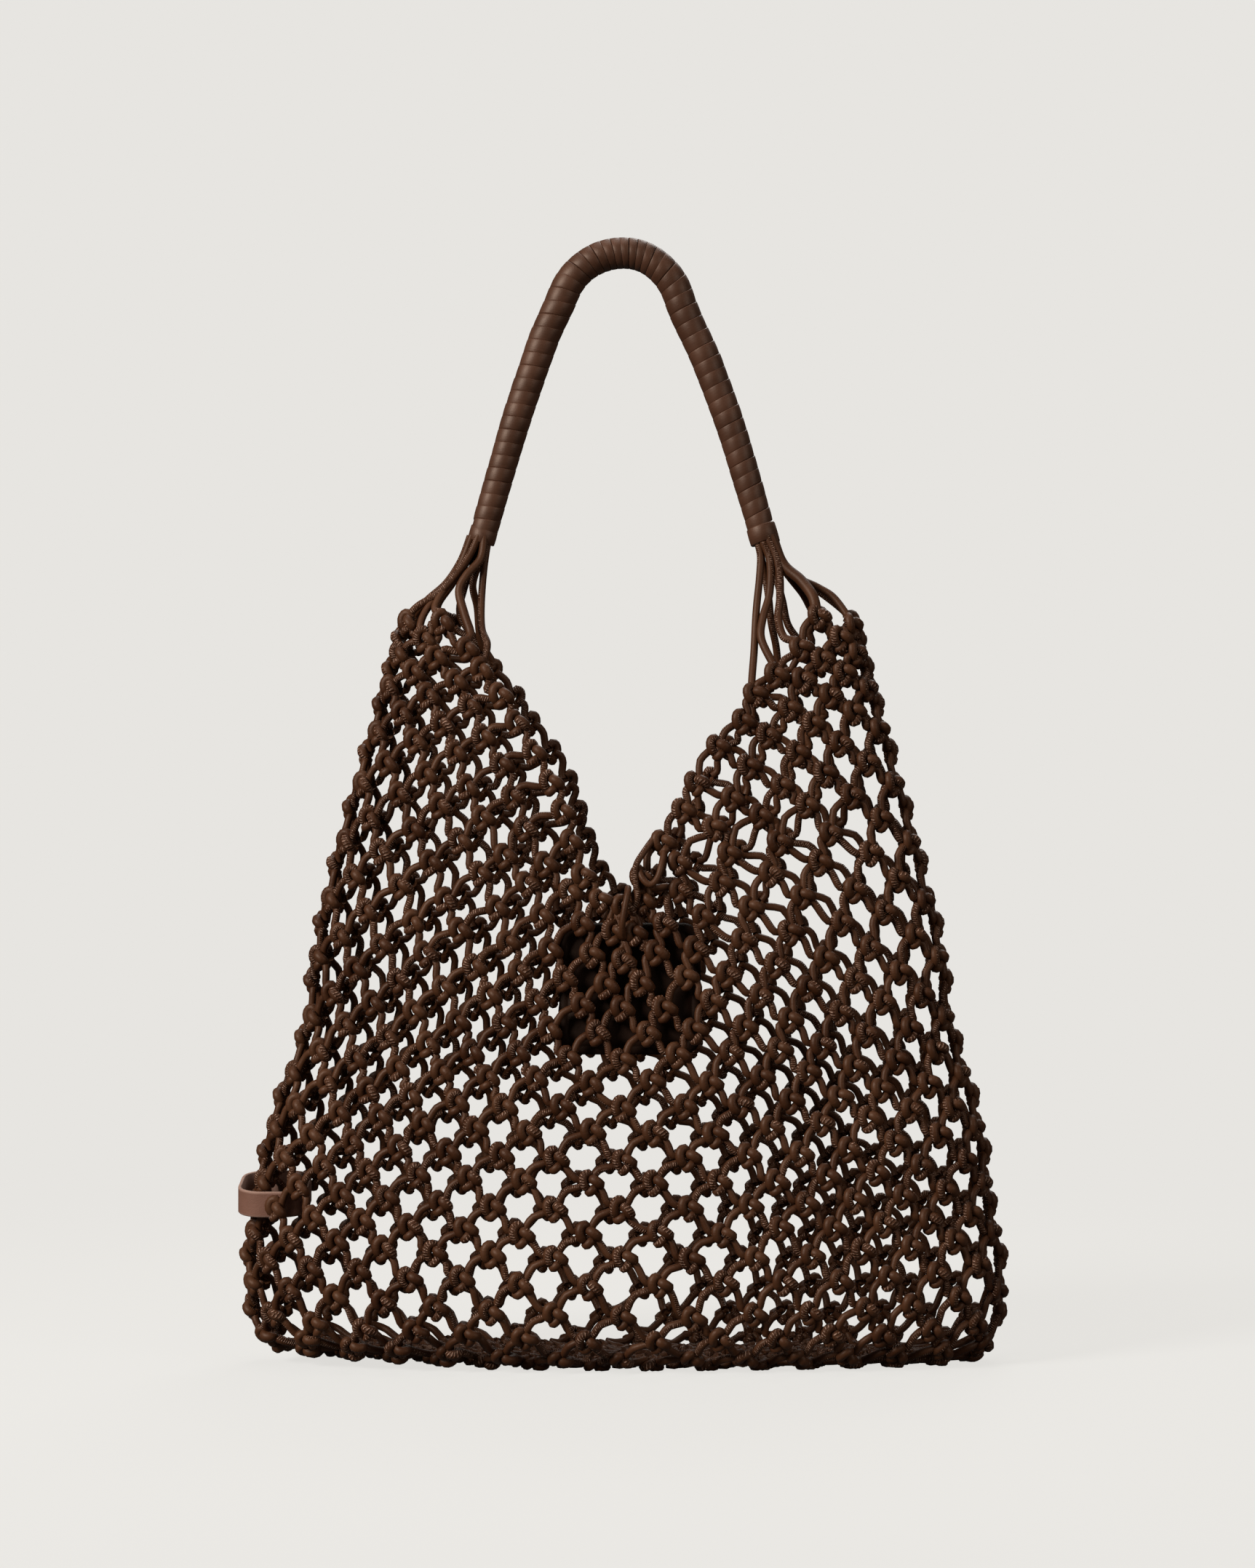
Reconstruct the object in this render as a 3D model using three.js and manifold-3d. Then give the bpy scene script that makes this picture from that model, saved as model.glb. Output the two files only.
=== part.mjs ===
// Net bag: a shoulder bag knotted from leather cord, standing filled out on its base.
// Millimetres, +Z up. The front faces -Y and the origin is at the middle of the base.
// The net is cut through in large diamonds, each standing for a few of the real meshes.
import * as THREE from "three";
import { mergeVertices } from "three/addons/utils/BufferGeometryUtils.js";
import Module from "manifold-3d";

const wasm = await Module();
wasm.setup();

// Driving dimensions of the net
const bodyHeight = 352; // floor to the top of the two shoulders
const bodyHalfWidth = 179; // at the widest, near the base
const bodyHalfDepth = 56; // at the deepest, near the base
const netWidth = 12; // one band of the net, seen from outside
const netThickness = 6; // cord laid over cord at a knot
const bandCrown = 0.55; // share of a band's width that is flat, the rest slopes to its edges
const columnsPerSide = 5; // columns of knots from the middle of a panel to its side fold
const vBottomRow = 0; // row of the knot where the two edges of the V meet
const vTopRow = 4; // row where an edge of the V meets the cord fan
const restPress = 0.4; // what the base is flattened by where it stands
const clearance = 0.3; // gap between pieces that touch

// Driving dimensions of the handle and its cord fans
const handleTop = 525.5; // floor to the top of the arch
const handleArchRadius = 30; // centre line of the arch at the top
const handleLean = 18.6; // degrees from upright, of each leg
const handleEndHeight = 383; // centre of the end face of each leg
const handleDiameterTop = 14.6;
const handleDiameterEnd = 12.4;
const endBandHeight = 7.3;
const endBandDiameterLeft = 12.8; // the last turns of the wrap
const endBandDiameterRight = 14; // a wider band, a little proud
const endBandRound = 0.6;
const fanCordDiameter = 3;

// Driving dimensions of the side loop and the pouch
const loopStrapHeight = 12;
const loopStrapThickness = 1.4;
const loopHeightOnSide = 79; // middle of the strap above the floor
const loopReach = 31; // from the outer face of the side fold into the bag
const loopHalfDepth = 21; // from the fold to the strap's wall, front and back
const loopCorner = 12;
const pouchWidth = 64;
const pouchHeight = 60;
const pouchThickness = 5;
const pouchCorner = 9;
const pouchTop = 206; // top edge above the floor
const pouchOffset = 3; // from the middle of the bag towards its right side
const tieDiameter = 3;
const tieHoleBelowTop = 6;
const tieHolePlay = 1; // round the tie in the pouch's hole

const leather = {
  cord: { color: 0x4d3328, roughness: 0.5, metalness: 0 },
  strip: { color: 0x533729, roughness: 0.42, metalness: 0 },
  strap: { color: 0x5a3d2e, roughness: 0.5, metalness: 0 },
  pouch: { color: 0x35211d, roughness: 0.55, metalness: 0 },
};

// Sections of the bag from the seam under the base to the shoulders. Level runs along the wall as a
// share of the body's height and is negative under the base. Height, width and depth are shares of
// the driving dimensions, and fullness is the exponent of the plan's outline.
const sections = [
  { level: -0.135, height: 0, width: 0.78, depth: 0, fullness: 2.2 },
  { level: -0.03, height: 0, width: 0.87, depth: 0.66, fullness: 2.2 },
  { level: 0, height: 0.006, width: 0.93, depth: 0.84, fullness: 2.2 },
  { level: 0.045, height: 0.04, width: 0.98, depth: 0.95, fullness: 2.2 },
  { level: 0.12, height: 0.12, width: 1, depth: 1, fullness: 2.2 },
  { level: 0.21, height: 0.21, width: 0.985, depth: 0.97, fullness: 2.2 },
  { level: 0.3, height: 0.3, width: 0.95, depth: 0.9, fullness: 2.2 },
  { level: 0.455, height: 0.455, width: 0.87, depth: 0.77, fullness: 2.2 },
  { level: 0.61, height: 0.61, width: 0.8, depth: 0.64, fullness: 2.3 },
  { level: 0.755, height: 0.755, width: 0.73, depth: 0.54, fullness: 2.5 },
  { level: 0.92, height: 0.92, width: 0.655, depth: 0.44, fullness: 2.8 },
  { level: 1, height: 1, width: 0.615, depth: 0.4, fullness: 3 },
];

// Rows of knots, numbered from the bottom of the V. The level is given in the middle of a panel, or
// on the edge of the V above row 0, and at the side fold, where the rows are lifted.
const rows = [
  { row: -9, middle: -0.135, fold: -0.135 },
  { row: -8, middle: -0.045, fold: -0.04 },
  { row: -7, middle: 0.03, fold: 0.045 },
  { row: -5, middle: 0.2, fold: 0.224 },
  { row: -3, middle: 0.362, fold: 0.41 },
  { row: -1, middle: 0.523, fold: 0.605 },
  { row: 0, middle: 0.605, fold: 0.7 },
  { row: 1, middle: 0.7, fold: 0.79 },
  { row: 2, middle: 0.795, fold: 0.86 },
  { row: 3, middle: 0.89, fold: 0.92 },
  { row: 4, middle: 0.985, fold: 0.965 },
  { row: 5, middle: 1, fold: 1 },
];
const bottomRow = -9;
const topRow = 5;

// Half of the V's opening at each row, as a share of the body's half width
const vOpening = [
  { row: 0, half: 0 },
  { row: 1, half: 0.106 },
  { row: 2, half: 0.23 },
  { row: 3, half: 0.361 },
  { row: 4, half: 0.5 },
];

// Where each fan cord is tied, from the V round the shoulder's front, its fold and its back: the row
// on the edge of the V, the panel, and how far the cord bows sideways on its way, in diameters.
const fanCords = [
  { row: 2.7, panel: "front", bow: 0 },
  { row: 3.15, panel: "front", bow: 0.8 },
  { row: 3.55, panel: "front", bow: 1.2 },
  { row: 4, panel: "front", bow: 0.6 },
  { row: 5, panel: "fold", bow: 0 },
  { row: 4, panel: "back", bow: 0.6 },
  { row: 3.55, panel: "back", bow: 1.2 },
  { row: 3.15, panel: "back", bow: 0.8 },
  { row: 2.7, panel: "back", bow: 0 },
];

// Value of one column of a table at a place between its rows, carried straight on past its ends
function lookUp(table, keyName, valueName, key) {
  let i = 1;
  while (i < table.length - 1 && table[i][keyName] < key) {
    i += 1;
  }
  const low = table[i - 1];
  const high = table[i];
  const share = (key - low[keyName]) / (high[keyName] - low[keyName]);
  return low[valueName] + share * (high[valueName] - low[valueName]);
}

// The wall's middle surface at one level: the ellipse-like plan and its height
function sectionAt(level) {
  const half = netThickness / 2;
  return {
    height: half - restPress + lookUp(sections, "level", "height", level) * (bodyHeight - netThickness),
    width: lookUp(sections, "level", "width", level) * bodyHalfWidth - half,
    depth: lookUp(sections, "level", "depth", level) * (bodyHalfDepth - half),
    fullness: lookUp(sections, "level", "fullness", level),
  };
}

function planPoint(section, angle) {
  const power = 2 / section.fullness;
  const sine = Math.sin(angle);
  const cosine = Math.cos(angle);
  const x = section.width * Math.sign(sine) * Math.abs(sine) ** power;
  const y = -section.depth * Math.sign(cosine) * Math.abs(cosine) ** power;
  return [x, y];
}

// Lengths along a quarter of the plan, from the middle of the front to the side fold
const planSteps = 60;
function quarterLengths(section) {
  const lengths = [0];
  let [lastX, lastY] = planPoint(section, 0);
  for (let i = 1; i <= planSteps; i += 1) {
    const [x, y] = planPoint(section, ((Math.PI / 2) * i) / planSteps);
    lengths.push(lengths[i - 1] + Math.hypot(x - lastX, y - lastY));
    [lastX, lastY] = [x, y];
  }
  return lengths;
}

// Angle in the plan at a share of the quarter's length, where 1 is the side fold
function angleAtShare(section, share) {
  if (share > 1) {
    return Math.PI - angleAtShare(section, 2 - share);
  }
  const lengths = quarterLengths(section);
  const wanted = share * lengths[planSteps];
  let i = 1;
  while (i < planSteps && lengths[i] < wanted) {
    i += 1;
  }
  const within = (wanted - lengths[i - 1]) / (lengths[i] - lengths[i - 1]);
  return ((Math.PI / 2) * (i - 1 + within)) / planSteps;
}

// Share of the quarter's length at which the front wall is x from the middle
function shareAtX(section, x) {
  const angle = Math.asin(Math.min(1, x / section.width) ** (section.fullness / 2));
  const lengths = quarterLengths(section);
  const place = (angle / (Math.PI / 2)) * planSteps;
  const i = Math.min(planSteps - 1, Math.floor(place));
  return (lengths[i] + (place - i) * (lengths[i + 1] - lengths[i])) / lengths[planSteps];
}

// A point of the wall: around is 0 in the middle of the front and 1 or -1 at the side folds
function wallPoint(around, level) {
  const section = sectionAt(level);
  const [x, y] = planPoint(section, angleAtShare(section, Math.abs(around)));
  return new THREE.Vector3(around < 0 ? -x : x, y, section.height);
}

function wallNormal(around, level) {
  const aroundStep = 0.02;
  const levelStep = 0.02;
  const across = wallPoint(around + aroundStep, level).sub(wallPoint(around - aroundStep, level));
  const up = wallPoint(around, level + levelStep).sub(wallPoint(around, level - levelStep));
  return across.cross(up).normalize();
}

// Place of a lattice point on the wall. Above the bottom of the V the rows start at its edge.
function latticePlace(column, row) {
  const side = column < 0 ? -1 : 1;
  const edgeRow = Math.max(row, vBottomRow);
  const room = Math.max(columnsPerSide - edgeRow, 0);
  const toFold = room > 0 ? (Math.abs(column) - edgeRow) / room : 1;
  const middle = lookUp(rows, "row", "middle", row);
  const fold = lookUp(rows, "row", "fold", row);
  const inward = row > vBottomRow ? Math.max(toFold, 0) : Math.abs(column) / columnsPerSide;
  const level = middle + (fold - middle) * inward * inward;
  if (row <= vBottomRow) {
    return { around: column / columnsPerSide, level };
  }
  const opening = lookUp(vOpening, "row", "half", Math.min(row, vTopRow)) * bodyHalfWidth;
  const start = shareAtX(sectionAt(level), opening);
  return { around: side * (start + (1 - start) * toFold), level };
}

function latticePoint(column, row) {
  const place = latticePlace(column, row);
  return {
    point: wallPoint(place.around, place.level),
    normal: wallNormal(place.around, place.level),
  };
}

// Knots of the front panel and the bands between them, as in a fishing net
function netLattice() {
  const knots = new Map();
  for (let row = bottomRow; row <= topRow; row += 1) {
    for (let column = -columnsPerSide; column <= columnsPerSide; column += 1) {
      const inMesh = (column + row) % 2 === 0;
      const besideV = row <= vBottomRow || Math.abs(column) >= row;
      if (inMesh && besideV) {
        knots.set(`${column},${row}`, { column, row, legs: [], ...latticePoint(column, row) });
      }
    }
  }
  const bands = [];
  for (const knot of knots.values()) {
    for (const step of [-1, 1]) {
      const upper = knots.get(`${knot.column + step},${knot.row + 1}`);
      if (upper) {
        const middle = latticePoint(knot.column + step / 2, knot.row + 0.5);
        const band = { lower: knot, upper, middle };
        bands.push(band);
        knot.legs.push({ band, toward: middle.point });
        upper.legs.push({ band, toward: middle.point });
      }
    }
  }
  return { knots: [...knots.values()], bands };
}

// Collects vertices in three layers, outer, edge and inner, and the faces between them
class BandMesh {
  constructor(width, thickness) {
    this.halfWidth = width / 2;
    this.halfThickness = thickness / 2;
    this.positions = [];
    this.faces = [];
  }

  vertex(point) {
    this.positions.push(point.x, point.y, Math.max(point.z, 0));
    return this.positions.length / 3 - 1;
  }

  // A point beside a centre, offset to the band's edge
  corner(centre, normal, offset) {
    const layer = (share, lift) =>
      this.vertex(centre.clone().addScaledVector(offset, share).addScaledVector(normal, lift));
    return {
      outer: layer(bandCrown, this.halfThickness),
      edge: layer(1, 0),
      inner: layer(bandCrown, -this.halfThickness),
    };
  }

  quad(a, b, c, d) {
    this.faces.push(a, b, c, a, c, d);
  }

  // A wall along one side, from one corner to the next with the solid on its left
  sideWall(from, to) {
    this.quad(from.edge, to.edge, to.outer, from.outer);
    this.quad(from.inner, to.inner, to.edge, from.edge);
  }

  // A stretch of band between two sections that each have a left and a right corner
  stretch(start, end) {
    this.quad(start.right.outer, end.right.outer, end.left.outer, start.left.outer);
    this.quad(start.left.inner, end.left.inner, end.right.inner, start.right.inner);
    this.sideWall(start.right, end.right);
    this.sideWall(end.left, start.left);
  }

  geometry() {
    const geometry = new THREE.BufferGeometry();
    geometry.setAttribute("position", new THREE.Float32BufferAttribute(this.positions, 3));
    geometry.setIndex(this.faces);
    return geometry;
  }
}

const widestMitre = THREE.MathUtils.degToRad(205); // a wider gap between bands gets a blunt end
const narrowestMitre = THREE.MathUtils.degToRad(50);

// The corners round one knot, where its bands meet. Each leg learns its left and right corner.
function buildKnot(mesh, knot) {
  const { point, normal, legs } = knot;
  const ahead = legs[0].toward.clone().sub(point);
  const axisX = ahead.addScaledVector(normal, -ahead.dot(normal)).normalize();
  const axisY = normal.clone().cross(axisX);
  const direction = (angle) =>
    axisX.clone().multiplyScalar(Math.cos(angle)).addScaledVector(axisY, Math.sin(angle));
  for (const leg of legs) {
    const way = leg.toward.clone().sub(point);
    leg.angle = Math.atan2(way.dot(axisY), way.dot(axisX));
  }
  legs.sort((a, b) => a.angle - b.angle);
  const ring = [];
  legs.forEach((leg, i) => {
    const next = legs[(i + 1) % legs.length];
    let gap = next.angle - leg.angle;
    if (gap <= 0) {
      gap += 2 * Math.PI;
    }
    const place = (angle, reach) => mesh.corner(point, normal, direction(angle).multiplyScalar(reach));
    if (gap > widestMitre) {
      leg.left = place(leg.angle + Math.PI / 2, mesh.halfWidth);
      const blunt = place(leg.angle + gap / 2, mesh.halfWidth * 1.2);
      next.right = place(next.angle - Math.PI / 2, mesh.halfWidth);
      mesh.sideWall(leg.left, blunt);
      mesh.sideWall(blunt, next.right);
      ring.push(leg.left, blunt, next.right);
    } else {
      const half = Math.max(gap, narrowestMitre) / 2;
      const corner = place(leg.angle + gap / 2, mesh.halfWidth / Math.sin(half));
      leg.left = corner;
      next.right = corner;
      ring.push(corner);
    }
  });
  for (let i = 1; i < ring.length - 1; i += 1) {
    mesh.faces.push(ring[0].outer, ring[i].outer, ring[i + 1].outer);
    mesh.faces.push(ring[0].inner, ring[i + 1].inner, ring[i].inner);
  }
}

// One band from a knot over its middle to the knot above
function buildBand(mesh, band) {
  const { point, normal } = band.middle;
  const way = band.upper.point.clone().sub(band.lower.point);
  const toLeft = normal.clone().cross(way).normalize().multiplyScalar(mesh.halfWidth);
  const middle = {
    left: mesh.corner(point, normal, toLeft),
    right: mesh.corner(point, normal, toLeft.clone().negate()),
  };
  const lowerLeg = band.lower.legs.find((leg) => leg.band === band);
  const upperLeg = band.upper.legs.find((leg) => leg.band === band);
  mesh.stretch(lowerLeg, middle);
  mesh.stretch(middle, { left: upperLeg.right, right: upperLeg.left });
}

// The front panel before it is trimmed where it meets the back, grown by a margin for cutting
function panelGeometry(margin) {
  const mesh = new BandMesh(netWidth + 2 * margin, netThickness + 2 * margin);
  const lattice = netLattice();
  lattice.knots.forEach((knot) => buildKnot(mesh, knot));
  lattice.bands.forEach((band) => buildBand(mesh, band));
  return mesh.geometry();
}

function toManifold(geometry) {
  const bare = geometry.clone();
  bare.deleteAttribute("normal");
  bare.deleteAttribute("uv");
  const merged = mergeVertices(bare, 1e-4);
  return new wasm.Manifold(
    new wasm.Mesh({
      numProp: 3,
      vertProperties: new Float32Array(merged.attributes.position.array),
      triVerts: new Uint32Array(merged.index.array),
    }),
  );
}

function toGeometry(manifold) {
  const mesh = manifold.getMesh();
  const geometry = new THREE.BufferGeometry();
  geometry.setAttribute("position", new THREE.Float32BufferAttribute(mesh.vertProperties, 3));
  geometry.setIndex(new THREE.Uint32BufferAttribute(mesh.triVerts, 1));
  return geometry;
}

function mirrored(geometry) {
  const copy = geometry.clone().scale(1, -1, 1);
  const index = copy.index.array;
  for (let i = 0; i < index.length; i += 3) {
    [index[i], index[i + 1]] = [index[i + 1], index[i]];
  }
  return copy;
}

// Everything in front of the plane where the two panels meet
function frontHalfSpace() {
  const size = 3 * bodyHeight;
  const box = new THREE.BoxGeometry(size, size, size);
  box.translate(0, -size / 2 - clearance / 2, 0);
  return toManifold(box);
}

const frontPanel = toGeometry(toManifold(panelGeometry(0)).intersect(frontHalfSpace()));
const cutterGeometry = panelGeometry(clearance);
const netCutters = [toManifold(cutterGeometry), toManifold(mirrored(cutterGeometry))];

// A round tube along a curve, with rings of its own radius and flat ends, or closed on itself
function sweepTube(curve, { steps, sides, radiusAt, closed = false }) {
  const frames = curve.computeFrenetFrames(steps, closed);
  const positions = [];
  const faces = [];
  const rings = closed ? steps : steps + 1;
  for (let i = 0; i < rings; i += 1) {
    const centre = curve.getPointAt(i / steps);
    for (let j = 0; j < sides; j += 1) {
      const angle = (2 * Math.PI * j) / sides;
      const out = frames.normals[i].clone().multiplyScalar(Math.cos(angle));
      out.addScaledVector(frames.binormals[i], Math.sin(angle)).multiplyScalar(radiusAt(i / steps));
      positions.push(...centre.clone().add(out).toArray());
    }
  }
  for (let i = 0; i < steps; i += 1) {
    for (let j = 0; j < sides; j += 1) {
      const a = i * sides + j;
      const b = i * sides + ((j + 1) % sides);
      const c = ((i + 1) % rings) * sides + ((j + 1) % sides);
      const d = ((i + 1) % rings) * sides + j;
      faces.push(a, b, c, a, c, d);
    }
  }
  if (!closed) {
    const last = steps * sides;
    for (let j = 1; j < sides - 1; j += 1) {
      faces.push(0, j + 1, j);
      faces.push(last, last + j, last + j + 1);
    }
  }
  const geometry = new THREE.BufferGeometry();
  geometry.setAttribute("position", new THREE.Float32BufferAttribute(positions, 3));
  geometry.setIndex(faces);
  return geometry;
}

// Centre line of the handle, from the left end over the arch to the right end
class HandleArch extends THREE.Curve {
  constructor() {
    super();
    const lean = THREE.MathUtils.degToRad(handleLean);
    this.centreHeight = handleTop - handleDiameterTop / 2 - handleArchRadius;
    this.turn = Math.PI / 2 - lean;
    this.legTop = new THREE.Vector3(
      handleArchRadius * Math.cos(lean), 0, this.centreHeight + handleArchRadius * Math.sin(lean),
    );
    this.legWay = new THREE.Vector3(Math.sin(lean), 0, -Math.cos(lean));
    this.legLength = (this.legTop.z - handleEndHeight) / Math.cos(lean);
    this.halfLength = this.legLength + handleArchRadius * this.turn;
  }

  // The point at a length from the top of the arch, to the right
  pointFromTop(length) {
    const onArch = handleArchRadius * this.turn;
    if (length <= onArch) {
      const angle = length / handleArchRadius;
      return new THREE.Vector3(
        handleArchRadius * Math.sin(angle), 0, this.centreHeight + handleArchRadius * Math.cos(angle),
      );
    }
    return this.legTop.clone().addScaledVector(this.legWay, length - onArch);
  }

  getPoint(t) {
    const along = (2 * t - 1) * this.wrapHalfLength;
    const point = this.pointFromTop(Math.abs(along));
    point.x *= Math.sign(along) || 1;
    return point;
  }

  // The wrap stops short of the end bands
  get wrapHalfLength() {
    return this.halfLength - endBandHeight - clearance;
  }
}

const arch = new HandleArch();
arch.arcLengthDivisions = 400;

function handleWrap() {
  const steps = 30;
  const shrink = handleDiameterTop - handleDiameterEnd;
  const radiusAt = (t) => (handleDiameterTop - shrink * Math.abs(2 * t - 1) ** 1.5) / 2;
  return sweepTube(arch, { steps, sides: 12, radiusAt });
}

// A frame at the end of one leg: its centre, the way down the leg and the way towards the V
function handleEnd(side) {
  const centre = arch.pointFromTop(arch.halfLength);
  const down = arch.legWay.clone();
  centre.x *= side;
  down.x *= side;
  const inward = new THREE.Vector3(down.z * side, 0, -down.x * side);
  return { centre, down, inward };
}

function endBand(side, diameter) {
  const radius = diameter / 2;
  const profile = [
    new THREE.Vector2(0, 0),
    new THREE.Vector2(radius - endBandRound, 0),
    new THREE.Vector2(radius, endBandRound),
    new THREE.Vector2(radius, endBandHeight - endBandRound),
    new THREE.Vector2(radius - endBandRound, endBandHeight),
    new THREE.Vector2(0, endBandHeight),
  ];
  const geometry = new THREE.LatheGeometry(profile, 14);
  const { centre, down } = handleEnd(side);
  const up = down.clone().negate();
  geometry.applyQuaternion(new THREE.Quaternion().setFromUnitVectors(new THREE.Vector3(0, 1, 0), up));
  return geometry.translate(centre.x, centre.y, centre.z);
}

// One cord of a fan: from its place under the end band to its place on the top edge of the net
function fanCord(side, number) {
  const cord = fanCords[number];
  const { centre, down, inward } = handleEnd(side);
  const spacing = fanCordDiameter + clearance;
  const ringRadius = spacing / (2 * Math.sin(Math.PI / fanCords.length));
  const angle = (2 * Math.PI * (number + 0.5)) / fanCords.length;
  const start = centre.clone().addScaledVector(down, clearance);
  start.addScaledVector(inward, ringRadius * Math.cos(angle));
  start.y -= ringRadius * Math.sin(angle);
  const onFold = cord.panel === "fold";
  const column = side * (onFold ? columnsPerSide : cord.row);
  const end = latticePoint(column, cord.row).point;
  if (cord.panel === "back") {
    end.y *= -1;
  }
  const distance = start.distanceTo(end);
  const leave = start.clone().addScaledVector(down, 0.35 * distance);
  const rise = start.clone().sub(end).normalize().add(new THREE.Vector3(0, 0, 0.6)).normalize();
  const arrive = end.clone().addScaledVector(rise, 0.35 * distance);
  const bow = cord.bow * fanCordDiameter;
  arrive.x += side * bow;
  const curve = new THREE.CubicBezierCurve3(start, leave, arrive, end);
  const radiusAt = () => fanCordDiameter / 2;
  let tube = toManifold(sweepTube(curve, { steps: 7, sides: 8, radiusAt }));
  for (const cutter of netCutters) {
    tube = tube.subtract(cutter);
  }
  return toGeometry(tube);
}

// Outline of a rectangle with round corners
function roundedRectangle(path, left, right, bottom, top, corner) {
  path.moveTo(left + corner, bottom);
  path.lineTo(right - corner, bottom);
  path.absarc(right - corner, bottom + corner, corner, -Math.PI / 2, 0);
  path.lineTo(right, top - corner);
  path.absarc(right - corner, top - corner, corner, 0, Math.PI / 2);
  path.lineTo(left + corner, top);
  path.absarc(left + corner, top - corner, corner, Math.PI / 2, Math.PI);
  path.lineTo(left, bottom + corner);
  path.absarc(left + corner, bottom + corner, corner, Math.PI, 1.5 * Math.PI);
  return path;
}

// The flat strap that runs round the left side fold and in through the net
function sideLoop() {
  const section = sectionAt(loopHeightOnSide / bodyHeight);
  const foldFace = -(section.width + netThickness / 2);
  const left = foldFace - clearance - loopStrapThickness;
  const right = foldFace + loopReach;
  const outline = roundedRectangle(
    new THREE.Shape(), left, right, -loopHalfDepth, loopHalfDepth, loopCorner,
  );
  const wall = loopStrapThickness;
  const hole = roundedRectangle(
    new THREE.Path(), left + wall, right - wall, wall - loopHalfDepth, loopHalfDepth - wall,
    loopCorner - wall,
  );
  outline.holes.push(hole);
  const geometry = new THREE.ExtrudeGeometry(outline, {
    depth: loopStrapHeight, bevelEnabled: false, curveSegments: 4,
  });
  return geometry.translate(0, 0, loopHeightOnSide - loopStrapHeight / 2);
}

// Places of the pouch and its tie, both hung from the knot at the bottom of the V
function pouchPlaces() {
  const knot = latticePoint(0, vBottomRow).point;
  const edge = latticePoint(0.5, vBottomRow + 0.5).point.sub(knot);
  const spread = Math.sin(Math.atan2(edge.x, edge.z));
  const reach = (netWidth / 2 + clearance + tieDiameter / 2) / spread;
  const hole = pouchTop - tieHoleBelowTop;
  const wallAtHole = wallPoint(0, hole / bodyHeight).y;
  const frontOfNet = wallAtHole - netThickness / 2 - clearance - tieDiameter / 2;
  return { knot, reach, hole, frontOfNet };
}

// Inner face of the front net, cleared, at a height and a distance from the middle
function insideFront(x, height) {
  const level = height / bodyHeight;
  const section = sectionAt(level);
  const around = shareAtX(section, Math.abs(x)) * Math.sign(x || 1);
  const point = wallPoint(around, level);
  return point.y + netThickness / 2 + 2 * clearance;
}

// The pouch follows the inside of the front net, with round corners and a hole for its tie
function pouch() {
  const across = 8;
  const upward = 8;
  const positions = [];
  const faces = [];
  const layers = [0, pouchThickness];
  for (const depth of layers) {
    for (let j = 0; j <= upward; j += 1) {
      const fromMiddle = (j / upward - 0.5) * pouchHeight;
      const straight = pouchHeight / 2 - pouchCorner;
      const past = THREE.MathUtils.clamp(Math.abs(fromMiddle) - straight, 0, pouchCorner);
      const inset = pouchCorner - Math.sqrt(pouchCorner ** 2 - past ** 2);
      const half = pouchWidth / 2 - inset;
      const height = pouchTop - pouchHeight / 2 + fromMiddle;
      for (let i = 0; i <= across; i += 1) {
        const x = pouchOffset + (2 * (i / across) - 1) * half;
        positions.push(x, insideFront(x, height) + depth, height);
      }
    }
  }
  const rowLength = across + 1;
  const layerSize = rowLength * (upward + 1);
  const quad = (a, b, c, d) => faces.push(a, b, c, a, c, d);
  for (let j = 0; j < upward; j += 1) {
    for (let i = 0; i < across; i += 1) {
      const a = j * rowLength + i;
      quad(a, a + 1, a + rowLength + 1, a + rowLength);
      const b = a + layerSize;
      quad(b, b + rowLength, b + rowLength + 1, b + 1);
    }
  }
  const rim = [];
  for (let i = 0; i < across; i += 1) rim.push(i);
  for (let j = 0; j < upward; j += 1) rim.push(j * rowLength + across);
  for (let i = across; i > 0; i -= 1) rim.push(upward * rowLength + i);
  for (let j = upward; j > 0; j -= 1) rim.push(j * rowLength);
  rim.forEach((a, i) => {
    const b = rim[(i + 1) % rim.length];
    quad(a, a + layerSize, b + layerSize, b);
  });
  const body = new THREE.BufferGeometry();
  body.setAttribute("position", new THREE.Float32BufferAttribute(positions, 3));
  body.setIndex(faces);
  const holeRadius = tieDiameter / 2 + tieHolePlay;
  const drill = new THREE.CylinderGeometry(holeRadius, holeRadius, 4 * bodyHalfDepth, 12);
  drill.translate(0, 0, pouchPlaces().hole);
  return toGeometry(toManifold(body).subtract(toManifold(drill)));
}

// A closed turn of cord through the pouch's hole and round the knot at the bottom of the V
class TieLoop extends THREE.Curve {
  constructor() {
    super();
    const { knot, reach, hole, frontOfNet } = pouchPlaces();
    const behindPouch = insideFront(0, pouchTop) + pouchThickness + tieHolePlay + tieDiameter / 2;
    this.middle = new THREE.Vector3(0, (frontOfNet + behindPouch) / 2, 0);
    this.halfDepth = (behindPouch - frontOfNet) / 2;
    const top = knot.z + reach;
    this.middle.z = (top + hole) / 2;
    this.halfHeight = (top - hole) / 2;
  }

  getPoint(t) {
    const angle = 2 * Math.PI * t;
    const square = 0.36; // exponent that squares the loop's corners
    const swell = (value) => Math.sign(value) * Math.abs(value) ** square;
    return this.middle.clone().add(
      new THREE.Vector3(0, this.halfDepth * swell(Math.cos(angle)), this.halfHeight * swell(Math.sin(angle))),
    );
  }
}

function pouchTie() {
  const radiusAt = () => tieDiameter / 2;
  return sweepTube(new TieLoop(), { steps: 20, sides: 8, radiusAt, closed: true });
}

const bag = new THREE.Group();

function addPiece(name, geometry, finish) {
  const merged = geometry.clone();
  merged.deleteAttribute("normal");
  merged.deleteAttribute("uv");
  const welded = mergeVertices(merged, 1e-4);
  welded.computeVertexNormals();
  const mesh = new THREE.Mesh(welded, new THREE.MeshStandardMaterial(finish));
  mesh.name = name;
  bag.add(mesh);
}

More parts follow.
